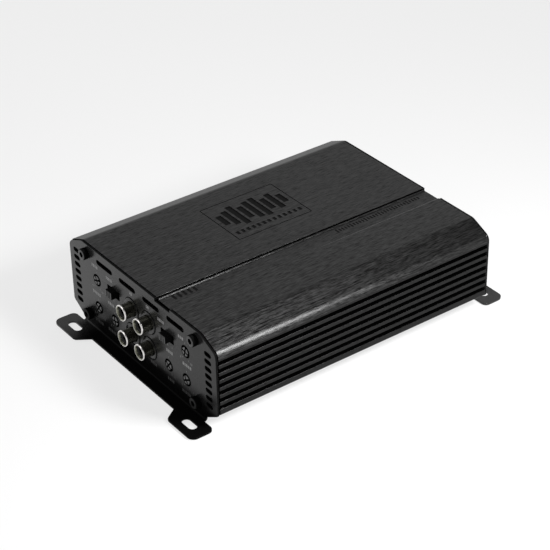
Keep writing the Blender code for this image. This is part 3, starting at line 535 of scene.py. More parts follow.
ANODISED = anodised_look()
# Painted shade: the engraved marks' floors and walls are near-black.
ENGRAVED = dull_look("engraved_floor_painted_shade", 0.0015, 0.004, 0.05)
# Painted shade: near-black for sockets, slots, pots, sheet edges and hidden walls.
SHADED = dull_look("painted_shade_black", 0.0008, 0.0025, 0.03)
# Painted highlight and shade along the strip's right edge.
STRIP_EDGE_LIGHT = strip_edge_look()
# Painted shade, darkest: the fin grooves, the strip's groove and the cut ends.
GROOVE_SHADE = dull_look("groove_painted_shade", 0.0002, 0.0008, 0.0)
# Painted shade: a darker, duller copy of the anodising for the flanks and fins.
FIN_SHADE = metal_look("fin_anodising_painted_shade", grey(0.002), grey(0.006), 0.34, (900, 30, 900), 0.3, 0.0, 0.13)
COATED = coated_look()
PRINT = print_look()
ROLLED = metal_look("rolled_aluminium", grey(0.42), grey(0.56), 0.34, (1800, 25, 1800), 0.25)
# Painted shade: a near-black, glossless copy of the oxide for the screw heads' knurled sides.
OXIDE_SIDE_SHADE = dull_look("black_oxide", 0.0005, 0.003, 0.02)
OXIDE_FACE = metal_look("black_oxide_face", grey(0.024), grey(0.045), 0.3, (900, 900, 900), 0.2, 0.6)
# Painted shade: a darker copy of the face for the lower front screws.
OXIDE_SHADE = dull_look("black_oxide_face_painted_shade", 0.003, 0.010, 0.16)
BARREL = barrel_look()
NICKEL = metal_look("nickel_plate", grey(0.66, 0.02), grey(0.80, 0.03), 0.15, (200, 200, 5000), 0.12)
STEEL = metal_look("stamped_steel", grey(0.28), grey(0.40), 0.38, (900, 60, 900), 0.25)
TIN = metal_look("tinned_brass", grey(0.55, 0.05), grey(0.70, 0.06), 0.28, (600, 600, 600), 0.2)
KNOB = plastic_look("knob_grey_plastic", grey(0.06), grey(0.085), 0.42)
INSULATOR = dull_look("jack_insulator_plastic", 0.008, 0.018, 0.12)
JACK_BLOCK = plastic_look("jack_block_moulding", grey(0.004), grey(0.007), 0.12, 1500, 0.1,
                          Specular_IOR_Level=0.25)
BLACK = plastic_look("black_moulding", grey(0.008), grey(0.014), 0.48)
# Painted shade: a near-black copy of the lever moulding for its sides and ribs.
LEVER_SHADE = dull_look("lever_moulding_painted_shade", 0.001, 0.003, 0.05)
LEVER_FACE = plastic_look("lever_face", grey(0.014), grey(0.024), 0.42)
TERMINAL = plastic_look("terminal_moulding", grey(0.010), grey(0.016), 0.33, 1200, 0.2)
PLUG = plastic_look("plug_moulding", grey(0.018), grey(0.027), 0.45)
EPOXY = plastic_look("moulded_epoxy", grey(0.014), grey(0.024), 0.6, 1500, 0.6)
SLEEVE = plastic_look("capacitor_sleeve", (0.010, 0.012, 0.022), (0.016, 0.018, 0.032), 0.3, 700, 0.15)
FERRITE = plastic_look("ferrite_core", grey(0.035), grey(0.06), 0.62, 1200, 0.6)
FILM = plastic_look("insulating_film", (0.62, 0.6, 0.5), (0.74, 0.72, 0.62), 0.35, 500, 0.2)
COPPER = metal_look("enamelled_copper", (0.55, 0.17, 0.05), (0.75, 0.28, 0.10), 0.26, (800, 800, 800), 0.2)
BOARD = board_look()
FUSE = fuse_look()
LENS = plastic_look("light_lens_plastic", (0.04, 0.16, 0.5), (0.06, 0.24, 0.7), 0.12, 500, 0.05,
                    Transmission_Weight=0.5)


# ---- housing

CHAMFER_RUN = 11.8  # width of the top chamfers
SIDE_TOP = 40.7
STRIP = (13.2, 24.8)  # left and right edge of the recessed strip
STRIP_FLOOR = BODY_TOP - 0.9
STRIP_EDGE_RUN = 0.35  # width of the ease on its right edge
SCREW_X, SCREW_ZS = 44.4, (7.6, 40.8)
SCREW_HOLE = 1.75
GROOVES, LOWEST_GROOVE, GROOVE_PITCH = 7, 12.7, 3.88
GROOVE_HALF, GROOVE_DEPTH = 1.05, 3.0
FIN_ZONE = (11.5, 37.5)  # heights between which the grooves lie


def fin_corners():
    """The right flank's grooves, from bottom to top, each lip slightly rounded."""
    corners = []
    for i in range(GROOVES):
        z = LOWEST_GROOVE + GROOVE_PITCH * i
        low, high, floor = z - GROOVE_HALF, z + GROOVE_HALF, HALF_WIDTH - GROOVE_DEPTH
        corners += [(HALF_WIDTH, low, 0.2), (floor, low, 0.25), (floor, high, 0.25), (HALF_WIDTH, high, 0.15)]
    return corners


def outer_side():
    foot = [(HALF_WIDTH - 12.2, BODY_BOTTOM, 0.6), (HALF_WIDTH, 8.7, 1.0)]
    shoulder = [(HALF_WIDTH, SIDE_TOP, 4.0), (HALF_WIDTH - CHAMFER_RUN, BODY_TOP, 6.0)]
    return foot + fin_corners() + shoulder


def inner_side():
    """The right half of the cavity: screw boss, clamping rib, side pocket, board slot and cover slot."""
    rib = [(41.2, 43.4, 0.8), (41.2, 37.6, 0), (43.0, 37.6, 0), (43.0, 19.0, 0.5), (46.0, 19.0, 0.5),
           (46.0, 37.6, 0), (47.6, 37.6, 0)]
    pocket = [(47.6, 42.9, 0), (55.0, 39.6, 1.0), (55.0, 9.6, 1.0), (47.6, 5.6, 0)]
    board = [(47.6, 10.4, 0), (41.2, 10.4, 0), (41.2, 8.2, 0), (42.0, 8.2, 0), (42.0, 6.0, 0),
             (40.6, 6.0, 0), (40.6, 4.5, 0)]
    cover = [(47.6, 4.5, 0), (47.6, 2.8, 0), (44.5, 2.8, 0), (44.5, BODY_BOTTOM, 0)]
    return rib + pocket + board + cover


def strip_corners():
    """The recessed strip: an eased right edge, and a bead beside the deep groove along its left edge."""
    left, right = STRIP
    deep = STRIP_FLOOR - 0.7
    bead = STRIP_FLOOR + 0.55
    return [(right + STRIP_EDGE_RUN, BODY_TOP, 0), (right, BODY_TOP - 0.1, 0), (right, STRIP_FLOOR, 0),
            (left + 1.55, STRIP_FLOOR, 0.1), (left + 1.5, bead, 0.45), (left + 0.85, bead, 0.05),
            (left + 0.85, deep, 0), (left, deep, 0), (left, BODY_TOP, 0.12)]


def slanted_bars(name, boxes, flare=0.12):
    """Cutters with a wider top, so that a cut mark has sloped walls."""
    mesh = blocks(name, *boxes)
    for vert in mesh.vertices:
        box = boxes[vert.index // 8]
        if vert.co.z > box[1][2] * MM:
            for i in (0, 1):
                vert.co[i] += math.copysign(flare * MM, vert.co[i] - box[1][i] * MM)
    return mesh


EMBLEM_CENTRE = (-19.5, 0.8)
EMBLEM_SIZE = (33.0, 42.4)
FRAME_LINE = 0.45
WAVE = (9.0, 13.5, 18.5, 11.5, 16.5, 18.5, 10.5, 15.0, 8.0)  # lengths of the level bars
BAR_PITCH, DASH_PITCH, DASHES = 4.3, 3.0, 13
FRONT_BARS = (-70.4, -67.6, -64.8, -62.0, -59.2)
SCALE_START, SCALE_PITCH, SCALE_MARKS = 20.8, 1.7, 30


def emblem_cutters():
    """A framed sound-level pattern: bars of changing height above a row of short dashes."""
    x, y = EMBLEM_CENTRE
    width, length = EMBLEM_SIZE
    outer = box_loop((x, y), width, length, 0.7)
    inner = box_loop((x, y), width - 2 * FRAME_LINE, length - 2 * FRAME_LINE, 0.4)
    ring = moved(plate("emblem_frame", [outer, inner], 0.6), (0, 0, BODY_TOP + 0.05))
    z = BODY_TOP + 0.1
    bars = [((height, 2.9, 0.8), (x - 2.3, y + (i - len(WAVE) // 2) * BAR_PITCH, z))
            for i, height in enumerate(WAVE)]
    dashes = [((2.6, 1.5, 0.6), (x + 11.0, y + (i - DASHES // 2) * DASH_PITCH, z)) for i in range(DASHES)]
    return [ring, slanted_bars("emblem_bars", bars + dashes)]


def strip_cutters():
    """Plain marks on the recessed strip: a short group of bars in front, a fine scale to the rear."""
    x = sum(STRIP) / 2
    z = STRIP_FLOOR + 0.12
    bars = [((3.6, 1.3, 0.4), (x - 1.9, y, z)) for y in FRONT_BARS]
    marks = [((2.2 if i % 5 else 3.2, 0.85, 0.4), (x - 1.5, SCALE_START + SCALE_PITCH * i, z))
             for i in range(SCALE_MARKS)]
    return [slanted_bars("strip_marks", bars + marks, 0.06)]


def in_shade(centre, normal):
    """Faces inside the fin grooves, the strip's groove and the cavity, and the cut ends."""
    side, z = abs(centre.x), centre.z
    in_fin = HALF_WIDTH - 3.5 < side < HALF_WIDTH - 0.12 and FIN_ZONE[0] < z < FIN_ZONE[1]
    in_strip = STRIP[0] - 0.1 < centre.x < STRIP[0] + 0.8 and STRIP_FLOOR - 1 < z < STRIP_FLOOR - 0.05
    strip_wall = abs(centre.x - STRIP[0]) < 0.05 and z < BODY_TOP - 0.15
    return in_fin or in_strip or strip_wall or abs(normal.y) > 0.95


def make_housing():
    loops = [rounded(outer_side() + strip_corners() + mirrored(outer_side())
                     + mirrored(inner_side()) + inner_side())]
    loops += [circle((x, z), SCREW_HOLE, 24) for x in (-SCREW_X, SCREW_X) for z in SCREW_ZS]
    body = moved(plate("housing", loops, 2 * HALF_LENGTH, 0.12), turn=ALONG_Y)
    # The cuts leave near-black painted shade on the marks' floors and walls.
    cutters = [painted(cutter, ENGRAVED) for cutter in emblem_cutters() + strip_cutters()]
    body = shaped(body, cuts=cutters, look=ANODISED)
    # The flanks below the chamfers take the darker copy as painted shade.
    repaint(body, FIN_SHADE, lambda centre, normal: abs(normal.x) > 0.5 and abs(centre.x) > HALF_WIDTH - 0.4
            and centre.z < FIN_ZONE[1] + 0.3)
    # Painted shade in the grooves and on the cut ends.
    repaint(body, GROOVE_SHADE, in_shade)
    # The strip's eased right edge takes the painted highlight and shade.
    repaint(body, STRIP_EDGE_LIGHT, lambda centre, normal: STRIP[1] < centre.x < STRIP[1] + STRIP_EDGE_RUN
            and 0.9 < normal.z < 0.99)
    piece("housing_extrusion", trued(body, 40), None, "heatsink_housing")


def make_cover():
    low, high = box_of("bottom_cover")
    size = high - low
    cover = moved(plate("cover", [box_loop((0, 0), size.x, size.y, 0.6)], size.z, 0.12), (low + high) / 2)
    piece("bottom_cover_sheet", smooth(cover), ROLLED, "bottom_cover")


# ---- end panels

BEND_RADIUS = 0.8
BEND_ARC = math.pi / 2 * (BEND_RADIUS + SHEET / 2)
BEND_TOP = SHEET + BEND_RADIUS
PANEL_X, PANEL_BOTTOM, PANEL_TOP, NOTCH_FLOOR = 59.6, 2.3, 45.6, 44.1
FOOT_X = 50.2  # half the panel's width at its foot
EAR_INNER, EAR_OUTER, EAR_REACH = 34.6, 58.3, 13.2
EAR_SLOT, EAR_SLOT_SPOT = (9.0, 4.2), (48.0, 7.3)
VENT, VENT_X, TOP_VENT, VENT_PITCH, VENTS = (5.1, 2.4), 53.6, 37.8, 3.9, 8
LOUVRES, LOUVRE_Z, LOUVRE_HEIGHT = ((2.9, 16.4), (22.2, 35.8)), 40.4, 2.6
BEND_CUTS = 8
KNOBS = {"left_filter": (-36.3, 29.8), "left_level": (-36.3, 14.6), "left_bass": (-22.2, 14.6),
         "right_filter": (36.3, 29.8), "right_level": (36.3, 14.6), "right_bass": (22.2, 14.6)}
JACKS = {"upper_left": (-6.9, 29.4), "upper_right": (6.9, 29.4),
         "lower_left": (-6.9, 15.5), "lower_right": (6.9, 15.5)}
SWITCHES = {"left": (-22.1, 30.3), "right": (22.1, 30.3)}
COLLAR_HOLE = 5.85
SWITCH_OPENING = (10.2, 4.5)
LIGHT = (-20.0, 32.5)


def up(z):
    """Height on the finished panel to distance along the flat sheet above the bend."""
    return z - BEND_TOP


def out(depth):
    """Distance out from the panel's face to distance along the flat sheet below the bend."""
    return -(BEND_ARC + depth - BEND_RADIUS)


def panel_outline(notch_side):
    side = [(FOOT_X, up(PANEL_BOTTOM), 0.4), (PANEL_X, up(8.0), 1.5), (PANEL_X, up(40.5), 4.0),
            (48.1, up(PANEL_TOP), 6.0)]
    tab = [(EAR_INNER, out(6.4), 0.8), (39.2, out(EAR_REACH), 2.5), (EAR_OUTER, out(EAR_REACH), 3.6),
           (EAR_OUTER, out(1.1), 2.8), (FOOT_X, out(1.1), 0.5)]
    near, far = STRIP[0] - 0.2, STRIP[1] + 0.2
    top, floor = up(PANEL_TOP), up(NOTCH_FLOOR)
    notch = [(far, top, 0.2), (far, floor, 0.2), (near, floor, 0.2), (near, top, 0.2)]
    if notch_side < 0:
        notch = mirrored(notch)
    return rounded(tab + side + notch + mirrored(side) + mirrored(tab))


def common_holes():
    """Side vents, top louvres, screw holes and the ears' slots."""
    holes = []
    for side in (-1, 1):
        for i in range(VENTS):
            holes.append(stadium((side * VENT_X, up(TOP_VENT - VENT_PITCH * i)), *VENT, 6))
        for near, far in LOUVRES:
            holes.append(stadium((side * (near + far) / 2, up(LOUVRE_Z)), far - near, LOUVRE_HEIGHT, 6))
        holes += [circle((side * SCREW_X, up(z)), SCREW_HOLE, 24) for z in SCREW_ZS]
        holes.append(stadium((side * EAR_SLOT_SPOT[0], out(EAR_SLOT_SPOT[1])), *EAR_SLOT, 12))
    return holes


def bent(point):
    """A point of the flat sheet (x, along, through) on the bent panel whose face is at y = 0."""
    x, along, through = point
    half, middle = SHEET / 2 * MM, (BEND_RADIUS + SHEET / 2) * MM
    if along >= 0:
        return Vector((x, half - through, BEND_TOP * MM + along))
    if along < -BEND_ARC * MM:
        return Vector((x, -BEND_RADIUS * MM + along + BEND_ARC * MM, half + through))
    angle, radius = -along / middle, middle - through
    return Vector((x, -BEND_RADIUS * MM + radius * math.cos(angle), BEND_TOP * MM - radius * math.sin(angle)))


def make_panel(end, notch_side, holes, y, turn):
    mesh = plate(end + "_sheet", [panel_outline(notch_side)] + common_holes() + holes, SHEET, 0.1, 1)
    bm = bmesh.new()
    bm.from_mesh(mesh)
    for i in range(BEND_CUTS + 1):
        bmesh.ops.bisect_plane(bm, geom=bm.verts[:] + bm.edges[:] + bm.faces[:], dist=1e-7,
                               plane_co=(0, -BEND_ARC * MM * i / BEND_CUTS, 0), plane_no=(0, 1, 0))
    for vert in bm.verts:
        vert.co = bent(vert.co)
    bm.to_mesh(mesh)
    bm.free()
    # Painted shade: the sheet's cut edges, round the outline and every hole, are near-black.
    repaint(painted(mesh, COATED), SHADED, lambda centre, normal: centre.z > BEND_TOP and abs(normal.y) < 0.3)
    piece(end + "_panel_sheet", trued(mesh, 50), None, end + "_panel",
          place=(0, y, 0), turn=turn)


def make_panels():
    front = [circle((x, up(z)), 3.15, 36) for x, z in KNOBS.values()]
    front += [circle((x, up(z)), COLLAR_HOLE, 56) for x, z in JACKS.values()]
    front += [box_loop((x, up(z)), *SWITCH_OPENING, 0.5) for x, z in SWITCHES.values()]
    make_panel("front", 1, front, -FACE, LEVEL)
    rear = [circle((-LIGHT[0], up(LIGHT[1])), 1.8, 32)]
    for node, bottom in (("power_terminal_block", 8.2), ("fuse_holder", 23.6), ("speaker_socket", 8.3)):
        low, high = box_of(node)
        centre = (-(low.x + high.x) / 2, up((bottom + high.z) / 2))
        rear.append(box_loop(centre, high.x - low.x + 0.6, high.z - bottom + 0.6, 0.3))
    make_panel("rear", -1, rear, FACE, Matrix.Rotation(math.pi, 4, "Z"))


# ---- printed marks

INK, INK_GAP = 0.024, 0.016  # thickness, and its middle above the panel
DIGIT = 1.9
TICK, TICK_WIDTH = (3.95, 4.9), 0.24  # radii of a tick's ends


def number_mesh(text, x, z):
    curve = bpy.data.curves.new("number", "FONT")
    curve.body = text
    curve.size = DIGIT * MM
    curve.align_x = "CENTER"
    curve.align_y = "CENTER"
    curve.extrude = INK / 2 * MM
    curve.resolution_u = 3
    return moved(from_curve("number", curve), (x, z, 0))


def dial_marks(x, z):
    """Three ticks round a trim knob: its two ends and its middle."""
    tick = box_loop((sum(TICK) / 2, 0), TICK[1] - TICK[0], TICK_WIDTH)
    turns = [Matrix.Rotation(math.radians(degrees), 2) for degrees in (240, 90, -60)]
    return [[Vector((x, z)) + turn @ Vector(corner) for corner in tick] for turn in turns]


def bar_marks(x, z, widths, height=1.1, gap=0.5):
    """A row of plain bars centred on (x, z)."""
    total = sum(widths) + gap * (len(widths) - 1)
    left, loops = x - total / 2, []
    for width in widths:
        loops.append(box_loop((left + width / 2, z), width, height))
        left += width + gap
    return loops


LABELS = ((-37.6, 37.0, 4), (-25.4, 35.8, 4), (-37.4, 22.2, 5), (-25.0, 22.4, 4), (-37.0, 6.4, 5),
          (-25.6, 7.0, 5), (17.4, 35.9, 4), (33.0, 35.6, 3), (23.4, 22.6, 4), (37.0, 22.6, 5),
          (35.6, 7.2, 5), (23.4, 7.2, 4), (-6.9, 37.6, 2), (6.9, 37.6, 2), (9.4, 8.6, 4))
LABEL_WIDTHS = (0.9, 1.2, 0.6, 1.1)


def label_marks(x, z, count):
    """A plain label: narrow upright blocks of changing width, like lettering seen from afar."""
    widths = [LABEL_WIDTHS[(i + count) % len(LABEL_WIDTHS)] for i in range(count)]
    return bar_marks(x, z, widths, 1.6, 0.4)


def make_front_print():
    loops, numbers = [], []
    for x, z in KNOBS.values():
        loops += dial_marks(x, z)
        numbers += [number_mesh("0", x - 3.9, z - 4.6), number_mesh("10", x + 4.1, z - 4.6)]
    for x, z in SWITCHES.values():
        numbers += [number_mesh(digit, x + step, z - 4.3) for digit, step in zip("123", (-3.6, 0, 3.6))]
    for label in LABELS:
        loops += label_marks(*label)
    marks = plate("print", loops, INK)
    mesh = moved(joined("front_print", [marks] + numbers), (0, -FACE - INK_GAP, 0), ALONG_Y)
    piece("front_panel_print", mesh, PRINT)


# ---- screws and front controls

def knurled(mesh, radius, low, high, teeth, depth):
    """Presses straight knurls into the ring of points near a radius, between two heights."""
    for vert in mesh.vertices:
        reach = math.hypot(vert.co.x, vert.co.y)
        if abs(reach - radius * MM) < 0.00002 and low * MM < vert.co.z < high * MM:
            turn = math.atan2(vert.co.y, vert.co.x) * teeth / (2 * math.pi)
            if round(turn * 2) % 2:
                vert.co.x *= 1 - depth * MM / reach
                vert.co.y *= 1 - depth * MM / reach


HEAD_RADIUS, HEAD_BASE, KNURLS = 2.85, 0.3, 36
HEX_RADIUS = 1.45  # of a socket, over its corners
FRONT_HEAD, REAR_HEAD = (2.5, 1.4), (1.5, 0.9)  # head height and socket depth


def socket_screw_mesh(height, socket, face_look):
    """An M3 socket head screw, head up, with a knurled rim and a hexagon socket."""
    base, top, r = HEAD_BASE, HEAD_BASE + height, HEAD_RADIUS
    profile = [(0, top), (r - 0.55, top), (r - 0.27, top - 0.08), (r - 0.07, top - 0.28), (r, top - 0.5),
               (r, base + 0.25), (r - 0.12, base), (1.4, base), (1.4, -8.5), (0.9, -9.0), (0, -9.0)]
    head = painted(lathe("socket_screw", profile, 2 * KNURLS), OXIDE_SIDE_SHADE)
    knurled(head, r, base + 0.2, top - 0.4, KNURLS, 0.16)
    # Painted shade: the hexagon socket is near-black.
    hexagon = painted(prisms("hexagon", HEX_RADIUS, 2 * socket, [(0, 0, top)], 6), SHADED)
    head = shaped(head, cuts=[hexagon, prisms("rim", 1.5, 0.5, [(0, 0, top)], 6, 0.25)])
    # The flat face takes the lighter copy; the sides keep the painted shade.
    repaint(head, face_look, lambda centre, normal: centre.z > top - 0.05 and normal.z > 0.9)
    return smooth(head, 30)


def make_screws():
    # The lower front heads take the painted-shade face, the upper ones the lighter face.
    front = {"lower": socket_screw_mesh(*FRONT_HEAD, OXIDE_SHADE),
             "upper": socket_screw_mesh(*FRONT_HEAD, OXIDE_FACE)}
    rear = dict.fromkeys(("lower", "upper"), socket_screw_mesh(*REAR_HEAD, OXIDE_FACE))
    for end, meshes, y, turn in (("front", front, -FACE, ALONG_Y), ("rear", rear, FACE, ALONG_REAR)):
        for side, x in (("left", -SCREW_X), ("right", SCREW_X)):
            for row, z in zip(("lower", "upper"), SCREW_ZS):
                node = f"{end}_screw_{row}_{side}"
                angle = 23 * len(node) + 41 * (row == "lower") + 17 * (side == "left")
                spin = turn @ Matrix.Rotation(math.radians(angle), 4, "Z")
                piece(node + "_head", meshes[row], None, node, "case", (x, y, z), spin)


KNOB_START = {"left_filter": 20, "left_level": -35, "left_bass": 10,
              "right_filter": -15, "right_level": 30, "right_bass": 50}


def knob_mesh():
    """A trim knob with a cross slot, face up, on a short stem."""
    profile = [(0, 0.3), (2.0, 0.3), (2.14, 0.24), (2.2, 0.1), (2.46, -0.9), (2.5, -1.1), (2.5, -2.3),
               (1.5, -2.3), (1.5, -6.0), (0, -6.0)]
    body = painted(lathe("trim_knob", profile, 56), KNOB)
    slot, slot_width = 5.4, 0.95
    # Painted shade: the cross slot's walls and floor are near-black.
    arms = [painted(blocks("arm", (size, (0, 0, 0.3))), SHADED)
            for size in ((slot, slot_width, 1.8), (slot_width, slot, 1.6))]
    knob = shaped(body, cuts=arms, ease=0.05, segments=1)
    # Painted shade on everything below the flat face: the sloped rim, the sides and the stem.
    return smooth(repaint(knob, SHADED, lambda centre, normal: centre.z < 0.16), 30)


def make_knobs():
    mesh = knob_mesh()
    for name, (x, z) in KNOBS.items():
        spin = ALONG_Y @ Matrix.Rotation(math.radians(KNOB_START[name]), 4, "Z")
        node = name + "_knob"
        piece(name + "_trim_knob", mesh, None, node, node, (x, -FACE, z), spin)


def make_switches():
    width, length, height, proud = 5.0, 8.4, 3.7, 2.9
    # Painted shade on the lever's sides and ribs; its top face is repainted in the lighter moulding.
    block = painted(blocks("switch_lever", ((width, height, length), (0, 0, proud - length / 2))), LEVER_SHADE)
    ribs = [painted(blocks("rib", ((0.5, 6.0, 0.7), (x, 0, proud))), LEVER_SHADE) for x in (-1.2, 0.0, 1.2)]
    lever = repaint(shaped(block, cuts=ribs, ease=0.3, segments=3), LEVER_FACE,
                    lambda centre, normal: normal.z > 0.7 and centre.z > proud - 0.3)
    smooth(lever, 30)
    frame_box = painted(blocks("switch_frame", ((14.0, 9.9, 7.0), (0, -1.35, -6.1))), STEEL)
    # Painted shade: the frame's pocket walls are near-black.
    pocket = painted(blocks("pocket", ((*SWITCH_OPENING, 8.4), (0, 0, -2.6))), SHADED)
    shell = smooth(shaped(frame_box, cuts=[pocket], ease=0.3), 30)
    for side, (x, z) in SWITCHES.items():
        node, spot = side + "_switch_lever", (x, -FACE, z)
        piece(side + "_slide_lever", lever, None, node, node, spot, ALONG_Y)
        piece(side + "_slide_frame", shell, None, side + "_switch_body", "case",
              spot, ALONG_Y)


def shell_mesh():
    """A turned jack shell: rolled bright lip, a barrel darkened as painted reflection, a bore painted the
    same dark as shade, and a neck inside the housing block.
    """
    front = 6.0
    profile = [(3.05, front - 0.60), (3.15, front - 0.25), (3.55, front), (3.86, front - 0.06),
               (4.06, front - 0.32), (4.10, front - 0.75), (3.98, front - 1.05), (3.72, front - 1.20),
               (3.60, front - 1.45), (3.60, -8.0), (2.8, -8.0), (2.8, front - 1.7), (2.85, front - 1.6)]
    mesh = painted(lathe("jack_shell", profile, 96, True), NICKEL)
    # The barrel behind the lip takes the dark look as painted reflection; the bore inside the lip takes it as
    # painted shade.
    repaint(mesh, BARREL, lambda centre, normal: centre.z < front - 1.25
            or (math.hypot(centre.x, centre.y) < 3.56 and centre.z < front - 0.01))
    return smooth(mesh, 40)


def core_mesh():
    """The jack's insulator: a dished front round a wide hole painted near-black as shade."""
    top = 5.3
    profile = [(0, -2.0), (2.00, -2.0), (2.00, top - 1.0), (2.10, top - 0.85), (2.70, top - 0.15),
               (2.76, top - 0.2), (2.78, top - 0.4), (2.78, top - 0.85), (2.55, top - 0.95),
               (2.5, top - 1.2), (2.5, -9.0), (0, -9.0)]
    mesh = painted(lathe("jack_core", profile, 64), INSULATOR)
    # Painted shade: the hole's walls and floor are near-black.
    repaint(mesh, SHADED, lambda centre, normal: math.hypot(centre.x, centre.y) < 2.05)
    return smooth(mesh, 40)


def contact_mesh():
    """The spring contact seen inside the core's hole."""
    profile = [(1.9, 1.6), (1.9, -1.6), (1.6, -1.6), (1.6, 1.4)]
    return smooth(lathe("jack_contact", profile, 40, True), 40)


def block_mesh():
    """The moulded jack block with four round collars that fill the panel's openings."""
    body = blocks("jack_block", ((27.6, 29.0, 11.5), (0, 22.7, -7.25)))
    spots, proud, deep = JACKS.values(), 0.4, 5.9
    collars = prisms("collars", COLLAR_HOLE - 0.3, deep, [(x, z, proud - deep / 2) for x, z in spots], 64)
    bores = prisms("bores", 3.75, 60, [(x, z, 0) for x, z in spots], 64)
    return smooth(shaped(body, unions=[collars], cuts=[bores], ease=0.18), 30)


def make_jacks():
    piece("jack_block_moulding", block_mesh(), JACK_BLOCK, "jack_block",
          place=(0, -FACE, 0), turn=ALONG_Y)
    parts = (("jack_barrel_", shell_mesh(), None, "nickel", "jack_shell_"),
             ("jack_insulator_", core_mesh(), None, "black_plastic", "jack_core_"),
             ("jack_contact_", contact_mesh(), TIN, "nickel", None))
    for label, (x, z) in JACKS.items():
        for name, mesh, look, slot, node in parts:
            piece(name + label, mesh, look, node and node + label, "case", (x, -FACE, z), ALONG_Y)


# ---- rear connectors

CLAMPS = {"ground": 10.4, "remote": 22.0, "battery": 33.6}
CLAMP_GAPS = (16.2, 27.8)
ENTRY_Z = 12.9
FUSE_X, FUSE_ZS, FUSE_PIN = 22.0, (26.5, 34.0), 5.5
PLUG_PITCH = 6.2
PLUG_COLUMNS = (-1.5, -0.5, 0.5, 1.5)


def make_terminal_block():
    low, high = box_of("power_terminal_block")
    screw_low, screw_high = box_of("remote_clamp_screw")
    screw_y = (screw_low.y + screw_high.y) / 2
    xs = CLAMPS.values()
    entries = moved(prisms("entries", 3.2, 20, [(x, ENTRY_Z, 0) for x in xs]), (0, high.y, 0), ALONG_Y)
    wells = prisms("wells", 2.6, 12, [(x, screw_y, high.z) for x in xs])
    steps = [blocks("groove_cap", ((0.8, 9.0, 1.2), (x, high.y, high.z))) for x in CLAMP_GAPS]
    grooves = [blocks("groove", ((0.8, 1.2, 30.0), (x, high.y, (low.z + high.z) / 2))) for x in CLAMP_GAPS]
    block = shaped(block_of("terminal_block", low, high), cuts=[entries, wells] + grooves + steps, ease=0.3)
    piece("terminal_block_moulding", smooth(block, 30), TERMINAL, "power_terminal_block")
    cage = smooth(lathe("clamp_cage", [(3.1, 0), (3.1, -6.5), (2.7, -6.5), (2.7, -0.3)], 40, True), 40)
    for name, x in CLAMPS.items():
        screw = name + "_clamp_screw"
        piece(name + "_clamp_cage", cage, TIN, None, "case", (x, high.y - 1.6, ENTRY_Z), ALONG_REAR)
        piece(name + "_grub_screw", clamp_screw_mesh(screw_high.z - screw_low.z), NICKEL,
              screw, screw, sum(box_of(screw), Vector()) / 2)


def clamp_screw_mesh(height):
    """A grub screw with a ridged shank and a hexagon socket."""
    top, r = height / 2, 2.25
    profile = [(0, top), (r - 0.35, top), (r - 0.1, top - 0.1), (r, top - 0.35)]
    h = top - 0.6
    while h > -top + 0.4:
        profile += [(r - 0.22, h), (r, h - 0.22)]
        h -= 0.45
    profile += [(r - 0.2, -top), (0, -top)]
    hexagon = prisms("hexagon", HEX_RADIUS, 4.0, [(0, 0, top)], 6)
    return smooth(shaped(lathe("clamp_screw", profile, 48), cuts=[hexagon]), 28)


def fuse_mesh():
    """A blade fuse: waisted translucent body, raised grip edges and two test windows."""
    outline = [(-9.6, 0.4, 0.3), (-9.6, 5.0, 0.9), (9.6, 5.0, 0.9), (9.6, 0.4, 0.3), (8.6, 1.2, 0.3),
               (8.6, -7.0, 0.4), (-8.6, -7.0, 0.4), (-8.6, 1.2, 0.3)]
    body = plate("fuse", [rounded(outline)], 5.1, 0.35, 1)
    windows = [blocks("window", ((2.6, 2.0, 1.6), (x, 5.0, 0))) for x in (-FUSE_PIN, FUSE_PIN)]
    dish = [blocks("dish", ((9.5, 2.6, 0.7), (0, 2.7, z))) for z in (-2.55, 2.55)]
    return smooth(moved(shaped(body, cuts=windows + dish), turn=ALONG_Y), 30)


def make_fuses():
    low, high = box_of("fuse_holder")
    pockets = [blocks("pocket", ((20.0, 30.4, 5.8), (FUSE_X, high.y, z))) for z in FUSE_ZS]
    holder = smooth(shaped(block_of("fuse_holder", low, high), cuts=pockets, ease=0.25), 30)
    piece("fuse_holder_moulding", holder, BLACK, "fuse_holder")
    body = fuse_mesh()
    flat = Matrix.Rotation(math.radians(-90), 4, "X")
    blades = blocks("blades", *[((5.2, 0.7, 9.0), (x, 0, -9.5)) for x in (-FUSE_PIN, FUSE_PIN)],
                    *[((2.2, 0.6, 6.6), (x, 0, 0.9)) for x in (-FUSE_PIN, FUSE_PIN)])
    for name, z in zip(("lower_fuse", "upper_fuse"), FUSE_ZS):
        piece(name + "_body", body, FUSE, name, name, (FUSE_X, high.y, z), flat)
        piece(name + "_blades", blades, TIN, None, name, (FUSE_X, high.y, z), flat)


